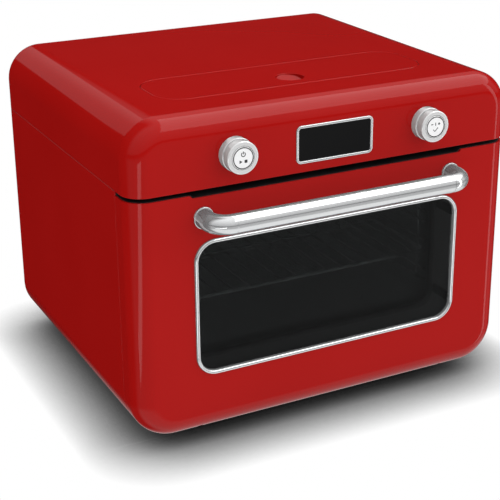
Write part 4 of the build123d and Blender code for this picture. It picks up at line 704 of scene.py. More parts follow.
@dataclass(frozen=True)
class Finish:
    """One finish: two close colours mixed by a mask, with its gloss and its effect.

    Args:
        name: The finish's name, which is also the record's slot.
        light: The colour where the mask is high.
        dark: The colour where the mask is low.
        rough: Lowest and highest roughness.
        metallic: 1 for bare metal.
        effect: Which shared effect it carries.
        scale: The effect's scale.
        depth: The effect's strength.
        transmission: Share of light let through, for clear pieces.
        ior: Refractive index.
        slot: The record's slot, where it isn't the finish's own name. Not used.
    """

    name: str
    light: Triple
    dark: Triple
    rough: Pair = (0.4, 0.5)
    metallic: float = 0.0
    effect: Effect = Effect.GRAIN
    scale: float = 900.0
    depth: float = 0.2
    transmission: float = 0.0
    ior: float = 1.5
    slot: str = ""

    def material(self) -> bpy.types.Material:
        """Builds the material once and returns it afterwards.

        Returns:
            The material.
        """
        label = f"{self.name}_finish"
        found = bpy.data.materials.get(label)
        if found:
            return found
        made = bpy.data.materials.new(label)
        made.use_nodes = True
        tree = made.node_tree
        effect = tree.nodes.new("ShaderNodeGroup")
        effect.node_tree = bpy.data.node_groups[self.effect.value]
        feed_all(tree, effect, {"Scale": self.scale, "Depth": self.depth})
        mask = effect.outputs["Mask"]
        feed_all(tree, tree.nodes["Principled BSDF"], {
            "Base Color": ramp_node(tree, mask, list(zip(MASK_RANGE, (self.dark, self.light)))),
            "Roughness": range_node(tree, mask, 0.0, 1.0, *self.rough).outputs["Result"],
            "Normal": effect.outputs["Normal"],
            "Metallic": self.metallic,
            "Transmission Weight": self.transmission,
            "IOR": self.ior,
        })
        return made

    def dress(self, piece: bpy.types.Object) -> None:
        """Puts the finish on a piece in place of whatever it had."""
        piece.data.materials.clear()
        piece.data.materials.append(self.material())


RED_ENAMEL = Finish(
    "red_enamel", (0.37, 0.006, 0.005), (0.36, 0.0055, 0.0045), (0.03, 0.045),
    effect=Effect.PEEL, scale=240.0, depth=0.012, ior=1.32,
)
REAR_SHEET = Finish(
    "rear_sheet", (0.32, 0.33, 0.34), (0.26, 0.27, 0.28), (0.38, 0.5), 1.0, scale=160.0, depth=0.05,
)
SCREW_STEEL = Finish(
    "screw_steel", (0.6, 0.6, 0.58), (0.5, 0.5, 0.48), (0.25, 0.35), 1.0, scale=1500.0, depth=0.05,
)
FOOT_RUBBER = Finish("foot_rubber", (0.03, 0.03, 0.03), (0.018, 0.018, 0.018), (0.65, 0.8), depth=0.25)
SEAL_RUBBER = Finish("seal_rubber", (0.04, 0.04, 0.042), (0.028, 0.028, 0.03), (0.5, 0.62), depth=0.12)
HOSE_RUBBER = Finish("hose_rubber", (0.62, 0.62, 0.6), (0.5, 0.5, 0.48), (0.35, 0.45), depth=0.05)
STAINLESS = Finish(
    "stainless", (0.5, 0.5, 0.5), (0.4, 0.4, 0.41), (0.24, 0.36), 1.0,
    effect=Effect.BRUSHED, scale=30.0, depth=0.12,
)
BLACK_ENAMEL = Finish(
    "black_enamel", (0.012, 0.012, 0.013), (0.008, 0.008, 0.009), (0.35, 0.42),
    effect=Effect.PEEL, scale=240.0, depth=0.08,
)
CHROME = Finish(
    "chrome", (0.88, 0.89, 0.9), (0.84, 0.85, 0.86), (0.04, 0.07), 0.76,
    effect=Effect.BRUSHED, scale=20.0, depth=0.01,
)
KNOB_CHROME = Finish(
    "knob_chrome", (0.95, 0.95, 0.95), (0.92, 0.92, 0.92), (0.06, 0.1), 0.5,
    effect=Effect.BRUSHED, scale=60.0, depth=0.02, slot="chrome",
)
BUTTON_SATIN = Finish(
    "button_satin", (0.94, 0.94, 0.94), (0.9, 0.9, 0.91), (0.3, 0.36), 0.15,
    effect=Effect.BRUSHED, scale=60.0, depth=0.05,
)
SHELF_WIRE = Finish(
    "shelf_wire", (0.62, 0.62, 0.62), (0.52, 0.52, 0.52), (0.12, 0.2), 1.0,
    effect=Effect.BRUSHED, scale=40.0, depth=0.05,
)
HEATER_SHEATH = Finish(
    "heater_sheath", (0.16, 0.14, 0.125), (0.09, 0.085, 0.08), (0.38, 0.55), 0.9, scale=300.0, depth=0.15,
)
DARK_GLASS = Finish(
    "dark_glass", (0.21, 0.22, 0.22), (0.2, 0.21, 0.21), (0.02, 0.03),
    effect=Effect.PEEL, scale=60.0, depth=0.004, transmission=1.0, ior=1.28,
)
CLEAR_GLASS = Finish(
    "clear_glass", (0.9, 0.93, 0.92), (0.88, 0.91, 0.9), (0.02, 0.03),
    effect=Effect.PEEL, scale=60.0, depth=0.004, transmission=1.0,
)
WOOL = Finish("wool", (0.62, 0.56, 0.4), (0.48, 0.42, 0.28), (0.85, 0.95), scale=700.0, depth=0.9)
CAST_ALUMINIUM = Finish(
    "cast_aluminium", (0.56, 0.57, 0.58), (0.46, 0.47, 0.48), (0.4, 0.5), 1.0, scale=500.0, depth=0.3,
)
BLACK_PLASTIC = Finish(
    "black_plastic", (0.02, 0.02, 0.021), (0.014, 0.014, 0.015), (0.42, 0.52), depth=0.15,
)
MOTOR_STEEL = Finish(
    "motor_steel", (0.45, 0.45, 0.46), (0.36, 0.36, 0.37), (0.3, 0.42), 1.0, scale=300.0, depth=0.1,
)
PUMP_PLASTIC = Finish("pump_plastic", (0.72, 0.72, 0.7), (0.64, 0.64, 0.62), (0.38, 0.46), depth=0.08)
TANK_PLASTIC = Finish(
    "tank_plastic", (0.5, 0.56, 0.58), (0.46, 0.52, 0.54), (0.08, 0.12),
    effect=Effect.PEEL, scale=120.0, depth=0.02, transmission=0.9, ior=1.49,
)
BOARD = Finish("board", (0.015, 0.16, 0.05), (0.01, 0.11, 0.035), (0.3, 0.4), scale=260.0, depth=0.08)
# Dark print for the button signs, also used as painted shade for the groove round each button.
DARK_PRINT_AND_GROOVE_SHADE = Finish("dark_print", (0.02, 0.02, 0.022), (0.014, 0.014, 0.016), (0.35, 0.42), depth=0.05)
DISPLAY_BLACK = Finish(
    "display_black", (0.006, 0.006, 0.0062), (0.005, 0.005, 0.0052), (0.03, 0.04),
    effect=Effect.PEEL, scale=60.0, depth=0.004, ior=1.28, slot="dark_glass",
)

# The finishes that the record's slots name.
SLOTS = {
    finish.name: finish
    for finish in (
        RED_ENAMEL, REAR_SHEET, SCREW_STEEL, FOOT_RUBBER, SEAL_RUBBER, HOSE_RUBBER, STAINLESS, BLACK_ENAMEL,
        CHROME, BUTTON_SATIN, SHELF_WIRE, HEATER_SHEATH, DARK_GLASS, CLEAR_GLASS, WOOL, CAST_ALUMINIUM,
        BLACK_PLASTIC, MOTOR_STEEL, PUMP_PLASTIC, TANK_PLASTIC, BOARD,
    )
}


# Placing a made piece


def bend_edges(piece: bpy.types.Object, width: float, segments: int) -> None:
    """Rounds a piece's sharp edges.

    Args:
        piece: The mesh object.
        width: Width of the rounding.
        segments: Steps across it.
    """
    bevel = piece.modifiers.new("rounded_edges", "BEVEL")
    bevel.width = width
    bevel.segments = segments
    bevel.limit_method = "ANGLE"
    bevel.angle_limit = math.radians(SHARP_EDGE)
    bevel.harden_normals = False
    bevel.use_clamp_overlap = True


def smooth(piece: bpy.types.Object, angle: float) -> None:
    """Shades a piece smoothly between edges sharper than the angle, weighted by face area.

    Args:
        piece: The mesh object.
        angle: That angle, in degrees.
    """
    piece.data.polygons.foreach_set("use_smooth", np.ones(len(piece.data.polygons), bool))
    piece.data.set_sharp_from_angle(angle=math.radians(angle))
    weighted = piece.modifiers.new("even_normals", "WEIGHTED_NORMAL")
    weighted.mode = "FACE_AREA"
    weighted.weight = FACE_WEIGHT
    weighted.keep_sharp = True


def sheet_wall(piece: bpy.types.Object, wall: float) -> None:
    """Gives a one-sided shell its wall, inwards, with closed rims.

    Args:
        piece: The mesh object.
        wall: Thickness of the wall.
    """
    solid = piece.modifiers.new("wall", "SOLIDIFY")
    solid.thickness = wall
    solid.offset = -1.0
    solid.use_even_offset = True
    solid.use_rim = True


def settle(
    piece: bpy.types.Object, finish: Finish, body: str, *nodes: str, angle: float = 35.0
) -> bpy.types.Object:
    """Dresses, smooths and places a new piece on its body, for the CAD nodes it stands for.

    Args:
        piece: The new mesh object.
        finish: Its finish.
        body: The moving body it rides on.
        *nodes: Construction nodes that it replaces.
        angle: Sharpness limit for smoothing, in degrees.

    Returns:
        The piece.
    """
    finish.dress(piece)
    smooth(piece, angle)
    if nodes:
        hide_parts(*nodes)
    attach(piece, body)
    LOG.info("%s: %d faces, on %s", piece.name, len(piece.data.polygons), body)
    return piece


# The oven's sub-assemblies


@dataclass
class BodyForm:
    """The rounded body that the hood, casing and door are cut from.

    Each surface point is the front outline moved inwards by an inset, at a depth. Through the front
    round, of radius r, the inset is r (1 - sin t) and the depth r (1 - cos t). The outer planes,
    from half_width to bottom, are read from the frame.

    Args:
        top_corner: Radius of the two upper corners in the front view.
        bottom_corner: Radius of the two lower corners.
        front_round: Radius of the front edge.
        rear_round: Radius of the rear edge.
        steps: Segments per quarter turn.
    """

    top_corner: float = 43 * MM
    bottom_corner: float = 49 * MM
    front_round: float = 25 * MM
    rear_round: float = 12 * MM
    steps: int = 20
    half_width: float = field(init=False)
    front: float = field(init=False)
    back: float = field(init=False)
    top: float = field(init=False)
    bottom: float = field(init=False)

    def __post_init__(self) -> None:
        """Reads the body's outer planes from the frame."""
        low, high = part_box("upper_housing")
        self.half_width, self.top = high.x, high.z
        self.front, self.back = low.y, high.y
        self.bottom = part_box("lower_casing")[0].z

    def upper_outline(self, low: float, inset: float) -> Loop:
        """The outline above a level, from lower left over the top to lower right.

        Args:
            low: The level.
            inset: How far the outline is moved inwards.

        Returns:
            (n, 2) open line.
        """
        x, z, r = self.half_width, self.top, self.top_corner
        left = arc((-x + r, z - r), r - inset, 180, 90, self.steps)
        right = arc((x - r, z - r), r - inset, 90, 0, self.steps)
        return np.concatenate([[(-x + inset, low)], left, right, [(x - inset, low)]])

    def lower_outline(self, high: float, inset: float) -> Loop:
        """The outline below a level, from upper right under the bottom to upper left.

        Args:
            high: The level.
            inset: How far the outline is moved inwards.

        Returns:
            (n, 2) open line.
        """
        x, z, r = self.half_width, self.bottom, self.bottom_corner
        right = arc((x - r, z + r), r - inset, 0, -90, self.steps)
        left = arc((-x + r, z + r), r - inset, -90, -180, self.steps)
        return np.concatenate([[(x - inset, high)], right, left, [(-x + inset, high)]])

    def front_profile(self) -> np.ndarray:
        """Inset and depth through the front round, from the flat front to the side."""
        return quarter(self.front_round, self.steps) + (0, self.front)

    def rear_profile(self, rim: float) -> np.ndarray:
        """Inset and depth through the rear round and in along the flat rear rim, rim wide."""
        turn = quarter(self.rear_round, self.steps // 2)[:, ::-1] * (1, -1) + (0, self.back)
        return np.concatenate([turn, [(rim, self.back)]])

    def round_depth(self, x: np.ndarray) -> np.ndarray:
        """Depth of the front round at places across the body: front + r - sqrt(r^2 - over^2).

        Args:
            x: Those places. Over is how far each lies past the start of the round.

        Returns:
            The depth at each place.
        """
        r = self.front_round
        over = np.clip(np.abs(x) - (self.half_width - r), 0, r)
        return self.front + r - np.sqrt(np.clip(r**2 - over**2, 0, None))

    def wrap(self, outline: Callable[[float, float], Loop], level: float, profile: np.ndarray) -> np.ndarray:
        """Carries a profile along an outline.

        Args:
            outline: Gives the outline for a level and an inset.
            level: Where the outline ends.
            profile: (m, 2) points of inset and depth.

        Returns:
            (n, m, 3) grid.
        """
        rings = [Plane.FRONT.place(outline(level, inset), y) for inset, y in profile]
        return np.stack(rings, 1)


@dataclass
class Hood:
    """The pressed hood with the control front and the tank's opening.

    Args:
        form: The rounded body.
        wall: Sheet thickness.
        seam: Gap round the lid.
        rear_rim: Width of the flat rear rim.
        lip: Rounding of the cut edges.
        window_edge: How much smaller than its frame the display's window is.
        window_corner: Corner radius of that window.
        knob_hole: Radius of the holes behind the knobs.
    """

    form: BodyForm
    wall: float = 2 * MM
    seam: float = 0.4 * MM
    rear_rim: float = 30 * MM
    lip: float = 0.5 * MM
    window_edge: float = 2 * MM
    window_corner: float = 5 * MM
    knob_hole: float = 14 * MM

    def build(self) -> bpy.types.Object:
        """Makes the hood from its rounds, sides, top and front.

        Returns:
            The hood.
        """
        form = self.form
        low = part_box("upper_housing")[0].z
        front = form.wrap(form.upper_outline, low, form.front_profile())
        rear = form.wrap(form.upper_outline, low, form.rear_profile(self.rear_rim))
        sides = np.stack([front[:, -1], rear[:, 0]], 1)
        half = len(sides) // 2
        surface = Surface().grid(front).grid(rear).grid(sides[:half]).grid(sides[half:])
        self._top(surface, sides[half - 1, 0, 0], sides[half, 0, 0])
        self._front(surface, form.upper_outline(low, form.front_round))
        hood = surface.mesh("hood_shell")
        sheet_wall(hood, self.wall)
        bend_edges(hood, self.lip, 3)
        return settle(hood, RED_ENAMEL, "oven", "upper_housing")

    def _top(self, surface: Surface, left: float, right: float) -> None:
        """Adds the flat top with the opening for the lid.

        Args:
            surface: The hood so far.
            left: Where the flat top starts.
            right: Where it ends.
        """
        form = self.form
        start, end = form.front + form.front_round, form.back - form.rear_round
        low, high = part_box("tank_lid")
        size = (high.x - low.x + 2 * self.seam, high.y - low.y + 2 * self.seam)
        centre = ((low.x + high.x) / 2, (low.y + high.y) / 2)
        hole = rounded_loop(*size, TankLid.corner + self.seam, centre, 16)
        outline = np.array([(left, start), (right, start), (right, end), (left, end)])
        surface.flat([outline, hole], Plane.LEVEL, form.top)

    def _front(self, surface: Surface, outline: Loop) -> None:
        """Adds the flat control front with the display's window and the knobs' holes.

        Args:
            surface: The hood so far.
            outline: Edge of the flat front.
        """
        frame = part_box("display_trim")
        size = front_size(*frame, self.window_edge)
        window = rounded_loop(*size, self.window_corner, front_middle(*frame), 8)
        knobs = [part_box(f"knob_{side.word}") for side in Side]
        holes = [circle(front_middle(*knob), self.knob_hole, 32) for knob in knobs]
        surface.flat([outline, window, *holes], Plane.FRONT, self.form.front)


@dataclass
class Casing:
    """The wrap round the bottom and both sides, with its rolled rear edge.

    Args:
        form: The rounded body.
        wall: Sheet thickness.
        rear_rim: Width of the flat rear rim.
        lip: Rounding of the cut edges.
        door_gap: Seam behind the door.
        sweep_gap: Clearance round the door's swing.
        run_steps: Segments from front to rear.
    """

    form: BodyForm
    wall: float = 2 * MM
    rear_rim: float = 30 * MM
    lip: float = 0.5 * MM
    door_gap: float = 1 * MM
    sweep_gap: float = 0.3 * MM
    run_steps: int = 12

    def build(self) -> bpy.types.Object:
        """Makes the casing: each line runs back from the door's seam or its swing.

        Returns:
            The casing.
        """
        form = self.form
        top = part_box("lower_casing")[1].z
        rear = form.wrap(form.lower_outline, top, form.rear_profile(self.rear_rim))
        start = form.lower_outline(top, 0.0)
        share = np.linspace(0, 1, self.run_steps + 1)[None, :]
        y = self._front_edge(start[:, 1])[:, None] * (1 - share) + rear[0, 0, 1] * share
        x, z = (np.broadcast_to(column[:, None], y.shape) for column in start.T)
        casing = Surface().grid(np.stack([x, y, z], -1)).grid(rear).mesh("casing_wrap")
        sheet_wall(casing, self.wall)
        bend_edges(casing, self.lip, 2)
        return settle(casing, RED_ENAMEL, "oven", "lower_casing")

    def _front_edge(self, heights: np.ndarray) -> np.ndarray:
        """Depth of the casing's front edge: the seam, or the circle that the door sweeps.

        Args:
            heights: Heights along the edge.

        Returns:
            The depth at each height.
        """
        pin_low, pin_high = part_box("hinge_pins")
        hinge_y, hinge_z = (pin_low.y + pin_high.y) / 2, (pin_low.z + pin_high.z) / 2
        door_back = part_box("door_skin")[1].y
        reach = math.hypot(door_back - hinge_y, hinge_z - self.form.bottom) + self.sweep_gap
        drop = np.clip(np.abs(heights - hinge_z), 0, reach)
        swing = hinge_y + np.sqrt(reach**2 - drop**2)
        return np.maximum(door_back + self.door_gap, swing)


@dataclass
class DoorSkin:
    """The door's pressed front, with its window and the recess along its top.

    Args:
        form: The rounded body.
        wall: Sheet thickness.
        recess: How far the vent recess is cut down.
        recess_half: Half the recess's length.
        lip: Rounding of the cut edges.
        window_seat: How much smaller than its trim the window is.
        hinge: Distance of each hinge arm from the middle.
        slot: Width of the slot that clears it.
        slot_start: Where the slot starts behind the front.
        strip_lip: Width of the red lip in front of the black strip of painted shade.
        strip_thick: Thickness of that strip.
        strip_gap: Gap behind it, and its least width.
    """

    form: BodyForm
    wall: float = 2 * MM
    recess: float = 3.3 * MM
    recess_half: float = 172 * MM
    lip: float = 0.9 * MM
    window_seat: float = 3 * MM
    hinge: float = 165 * MM
    slot: float = 5 * MM
    slot_start: float = 9 * MM
    strip_lip: float = 1.9 * MM
    strip_thick: float = 0.25 * MM
    strip_gap: float = 0.3 * MM

    def build(self) -> bpy.types.Object:
        """Makes the skin from its round, its front and its top edge.

        Returns:
            The skin.
        """
        form = self.form
        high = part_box("door_skin")[1]
        profile = np.concatenate([form.front_profile(), [(0.0, high.y)]])
        surface = Surface().grid(form.wrap(self._outline, high.z, profile))
        edge = self._top_edge(high.z)
        inner = edge[np.abs(edge[:, 0]) < form.half_width - form.front_round - TINY]
        outline = np.concatenate([self._outline(high.z, form.front_round), inner])
        surface.flat([outline, self._window()], Plane.FRONT, form.front)
        self._top(surface, edge, high.y)
        skin = surface.mesh("door_skin_shell")
        self._cut_slots(skin)
        sheet_wall(skin, self.wall)
        bend_edges(skin, self.lip, 3)
        return settle(skin, RED_ENAMEL, "door", "door_skin")

    def _outline(self, top: float, inset: float) -> Loop:
        """The body's lower outline with the sides of both hinge slots marked on its bottom.

        Args:
            top: Level of the door's top edge.
            inset: How far the outline is moved inwards.

        Returns:
            (n, 2) open line.
        """
        loop = self.form.lower_outline(top, inset)
        half = self.slot / 2
        x = np.array([self.hinge + half, self.hinge - half, half - self.hinge, -half - self.hinge])
        marks = np.stack([x, np.full(4, self.form.bottom + inset)], 1)
        return np.insert(loop, [len(loop) // 2] * 4, marks, axis=0)

    def _cut_slots(self, skin: bpy.types.Object) -> None:
        """Opens the bottom over the hinge arms: faces with ||x| - hinge| < slot / 2 go.

        Args:
            skin: The skin before it has a wall.
        """
        data = skin.data
        centre = np.empty(3 * len(data.polygons))
        data.polygons.foreach_get("center", centre)
        x, y, z = centre.reshape(-1, 3).T
        form = self.form
        cut = np.abs(np.abs(x) - self.hinge) < self.slot / 2
        cut &= (y > form.front + self.slot_start) & (z < form.bottom + form.front_round)
        edit = bmesh.new()
        edit.from_mesh(data)
        edit.faces.ensure_lookup_table()
        bmesh.ops.delete(edit, geom=[edit.faces[i] for i in np.flatnonzero(cut)], context="FACES")
        edit.to_mesh(data)
        edit.free()

    def _top_edge(self, top: float) -> Loop:
        """The top edge from left to right, dipping along the recess.

        Args:
            top: Level of the edge outside the recess.

        Returns:
            (n, 2) open line.
        """
        across = quarter(self.form.front_round, self.form.steps)[::-1, 0] - self.form.half_width
        left = np.stack([across, np.full(len(across), top)], 1)
        dip, low = self.recess_half, top - self.recess
        middle = [(-dip - self.recess, top), (-dip, low), (dip, low), (dip + self.recess, top)]
        return np.concatenate([left, middle, left[::-1] * (-1, 1)])

    def _window(self) -> Loop:
        """The window's cut-out, just inside the trim.

        Returns:
            (n, 2) closed loop.
        """
        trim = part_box("window_trim")
        size = (*front_size(*trim, self.window_seat), WindowTrim.corner - self.window_seat / 2)
        return rounded_loop(*size, front_middle(*trim), 14)

    def _top(self, surface: Surface, edge: Loop, back: float) -> None:
        """Adds the flange that runs back from the top edge to the door's rear.

        Args:
            surface: The skin so far.
            edge: The top edge.
            back: Depth of the door's rear.
        """
        depths = (self.form.round_depth(edge[:, 0]), np.full(len(edge), back))
        surface.grid(np.stack([np.column_stack([edge[:, 0], y, edge[:, 1]]) for y in depths], 1))

    def strip(self) -> bpy.types.Object:
        """Makes the black strip that lies on the door's top edge, inside the red lip: painted shade that
        darkens the gap under the hood.

        Returns:
            The strip.
        """
        half_width = self.form.half_width
        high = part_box("door_skin")[1]
        edge = self._top_edge(high.z)
        x = edge[:, 0] * ((half_width - self.strip_lip) / half_width)
        end = np.full(len(edge), high.y - self.strip_gap)
        start = np.minimum(self.form.round_depth(edge[:, 0]) + self.strip_lip, end - self.strip_gap)
        sides = [(start, 0.0), (end, 0.0), (end, self.strip_thick), (start, self.strip_thick)]
        grid = np.stack([np.column_stack([x, y, edge[:, 1] + lift]) for y, lift in sides], 1)
        # A black sheet as painted shade in the gap between door and hood.
        strip = Surface().grid(grid, closed_v=True).fan(grid[0]).fan(grid[-1]).mesh("door_top_strip")
        return settle(strip, BLACK_PLASTIC, "door")


@dataclass
class WindowTrim:
    """The full, rounded bright bead round the window, with a fine inner step.

    Args:
        width: Bead width.
        proud: Bead height.
        depth: How far the inner tube reaches back.
        corner: Outer corner radius.
        fullness: Power of the sine that shapes the bead; 1 is a plain half round.
    """

    width: float = 4.5 * MM
    proud: float = 3.0 * MM
    depth: float = 2.2 * MM
    corner: float = 25 * MM
    fullness: float = 0.8

    def build(self, form: BodyForm) -> bpy.types.Object:
        """Carries the bead's profile round the window.

        Args:
            form: The rounded body.

        Returns:
            The trim.
        """
        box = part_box("window_trim")
        t = np.radians(np.linspace(0, 180, 17))
        across = self.width / 2 * (1 - np.cos(t))
        bead = np.stack([across, form.front - self.proud * np.sin(t) ** self.fullness], 1)
        profile = np.concatenate([bead, [(self.width, form.front + self.depth)]])
        grid = framed((*front_size(*box), self.corner), front_middle(*box), profile, 16)
        trim = Surface().grid(grid, closed_u=True, closed_v=True).mesh("window_bead")
        return settle(trim, CHROME, "door", "window_trim")


@dataclass
class LinerCoat:
    """The black coat on the front of the door liner, which the window shows round the inner glass: painted
    shade that keeps that rim dark.

    Args:
        overlap: How far the inner glass runs past the liner's opening.
        corner: Corner radius of that opening.
        margin: How far the coat runs past the window's trim.
        thick: Thickness of the coat.
    """

    overlap: float = 6 * MM
    corner: float = 14 * MM
    margin: float = 22 * MM
    thick: float = 0.2 * MM

    def build(self) -> bpy.types.Object:
        """Lays a flat black ring of painted shade just before the liner.

        Returns:
            The coat.
        """
        glass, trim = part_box("inner_glass"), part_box("window_trim")
        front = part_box("door_liner")[0].y - 2 * self.thick
        outer = (*front_size(*trim, -2 * self.margin), WindowTrim.corner)
        inner = (*front_size(*glass, 2 * self.overlap), self.corner)
        outline = rounded_loop(*outer, front_middle(*trim), 12)
        opening = rounded_loop(*inner, front_middle(*glass), 12)
        # Painted shade: a black ring where the window shows the liner round the inner glass.
        coat = Surface().flat([outline, opening], Plane.FRONT, front).mesh("liner_front_coat")
        sheet_wall(coat, self.thick)
        return settle(coat, BLACK_ENAMEL, "door")


@dataclass
class Handle:
    """The round bar and its two elbows, with a fine seam where they meet.

    Args:
        radius: Tube radius.
        bend: Radius of the elbow's turn.
        foot: Width, height and thickness of the elbow's foot.
        foot_corner: Its corner radius as a share of its width.
        foot_edge: Rounding of its front edge.
        foot_seat: How far it is let into the door.
        seam: Width of the groove between bar and elbow.
    """

    radius: float = 11 * MM
    bend: float = 20 * MM
    foot: Triple = (23 * MM, 25 * MM, 2.2 * MM)
    foot_corner: float = 0.49
    foot_edge: float = 0.8 * MM
    foot_seat: float = 0.1 * MM
    seam: float = 0.5 * MM

    def build(self, form: BodyForm) -> list[bpy.types.Object]:
        """Makes the bar and both elbows.

        Args:
            form: The rounded body.

        Returns:
            The bar and then the elbows.
        """
        low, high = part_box("handle_bar")
        end = (high.x, (low.y + high.y) / 2, (low.z + high.z) / 2)
        made = [self._bar(end)]
        for side in Side:
            made.append(self._elbow(side, end, form.front))
        return made

    def _bar(self, end: Triple) -> bpy.types.Object:
        """The straight tube about an axis along X, its ends turned in by a small bevel.

        Args:
            end: Right end of its axis.

        Returns:
            The bar.
        """
        reach, y, z = end
        r, g = self.radius, self.seam
        x = np.array([-reach + g, -reach + 2 * g, reach - 2 * g, reach - g])
        radii = np.array([r - g, r, r, r - g])
        t = full_turn(64)
        grid = np.stack([np.broadcast_to(x, (64, 4)), y + radii * np.cos(t), z + radii * np.sin(t)], -1)
        return settle(Surface().barrel(grid).mesh("handle_tube"), CHROME, "door", "handle_bar", angle=40)

    def _elbow(self, side: Side, end: Triple, front: float) -> bpy.types.Object:
        """One elbow: a quarter turn from the bar's end, a straight run to the door, and the foot.

        Args:
            side: Which of the two.
            end: Right end of the bar's axis.
            front: Depth of the door's front.

        Returns:
            The elbow.
        """
        reach, y, z = end
        s = side.value
        foot_x = s * (reach + self.bend)
        points = [(s * (reach - self.seam), y, z), (foot_x, y, z), (foot_x, front + self.seam, z)]
        width, height, thick = self.foot
        profile = quarter(self.foot_edge, 6) + (0, front - thick)
        profile = np.concatenate([profile, [(0.0, front + self.foot_seat)]])
        foot = framed((width, height, self.foot_corner * width), (foot_x, z), profile, 16)
        surface = Surface().barrel(tube(bent(points, self.bend, 20), self.radius, 64)).barrel(foot)
        elbow = surface.mesh(f"handle_elbow_{side.word}")
        return settle(elbow, CHROME, "door", f"handle_bracket_{side.word}", angle=40)


@dataclass
class Knob:
    """A ring knob before its fixed collar, with a push button that carries signs.

    Args:
        side: Which of the two.
        collar: Height of the collar.
        ring: Radius of the knob.
        edge: Rounding of its front edge.
        rear_edge: Rounding of its rear edge.
        groove: Gap between collar and knob.
        neck: Radius and depth of the neck behind the cap.
        sleeve: Inner and outer radius of the hollow shaft.
        pocket: Radius and depth of the pocket for the button.
        pocket_edge: Bevel round it.
        button: Radius and thickness of the push button.
        button_edge: Rounding of its edge.
        crown: How far its middle stands out.
        stem: Radius of its stem.
    """

    side: Side
    collar: float = 9 * MM
    ring: float = 18.4 * MM
    edge: float = 1.6 * MM
    rear_edge: float = 0.6 * MM
    groove: float = 0.6 * MM
    neck: Pair = (16.4 * MM, 1.2 * MM)
    sleeve: Pair = (6.5 * MM, 9 * MM)
    pocket: Pair = (13.4 * MM, 4 * MM)
    pocket_edge: float = 0.35 * MM
    button: Pair = (12.7 * MM, 2.6 * MM)
    button_edge: float = 0.5 * MM
    crown: float = 0.12 * MM
    stem: float = 6 * MM

    def build(self, form: BodyForm) -> list[bpy.types.Object]:
        """Makes the ring and the button with its signs.

        Args:
            form: The rounded body.

        Returns:
            The ring and the button.
        """
        word = self.side.word
        low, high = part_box(f"knob_{word}")
        middle = front_middle(low, high)
        return [self._ring(word, middle, low.y, form.front), self._button(word, middle)]

    def _ring(self, word: str, middle: Pair, face: float, front: float) -> bpy.types.Object:
        """The knob: sleeve, neck, rounded cap and the pocket for the button.

        Args:
            word: The side's name.
            middle: Place of its axis.
            face: Depth of its face.
            front: Depth of the hood's front.

        Returns:
            The knob.
        """
        sleeve_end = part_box(f"knob_{word}")[1].y
        behind = front - self.collar - self.groove
        back = behind - self.neck[1]
        turn = arc((self.ring - self.edge, -self.edge), self.edge, 0, 90, 8)
        cap = np.stack([turn[:, 0], face - turn[:, 1]], 1)
        rear = arc((self.ring - self.rear_edge, self.rear_edge), self.rear_edge, -90, 0, 5)
        skirt = np.stack([rear[:, 0], back - rear[:, 1]], 1)
        (bore, shaft), narrow = self.sleeve, self.neck[0]
        neck = [(bore, sleeve_end), (shaft, sleeve_end), (shaft, behind), (narrow, behind), (narrow, back)]
        (mouth, depth), bevel = self.pocket, self.pocket_edge
        pocket = [(mouth + bevel, face), (mouth, face + bevel), (mouth, face + depth), (bore, face + depth)]
        grid = turned(middle, np.concatenate([neck, skirt, cap, pocket]))
        knob = Surface().grid(grid, closed_u=True, closed_v=True).mesh(f"knob_ring_{word}")
        return settle(knob, KNOB_CHROME, f"knob_{word}", f"knob_{word}", angle=50)

    def _button(self, word: str, middle: Pair) -> bpy.types.Object:
        """The button: a softly domed satin face with a rounded edge and a stem.

        Args:
            word: The side's name.
            middle: Place of its axis.

        Returns:
            The button.
        """
        low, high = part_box(f"button_{word}")
        (radius, thick), edge = self.button, self.button_edge
        face, back = low.y, low.y + thick
        share = np.linspace(0, 1, 10)
        dome = np.stack([share * (radius - edge), face + self.crown * share**2], 1)
        turn = arc((radius - edge, 0), edge, 90, 0, 6)[1:]
        rim = np.stack([turn[:, 0], face + self.crown + edge - turn[:, 1]], 1)
        stem = [(radius, back), (self.stem, back), (self.stem, high.y), (0.0, high.y)]
        grid = turned(middle, np.concatenate([dome, rim, stem])[::-1])
        button = Surface().grid(grid, closed_u=True).mesh(f"button_cap_{word}")
        settle(button, BUTTON_SATIN, f"button_{word}", f"button_{word}", angle=50)
        Signs(self.side, middle, face).build()
        return button


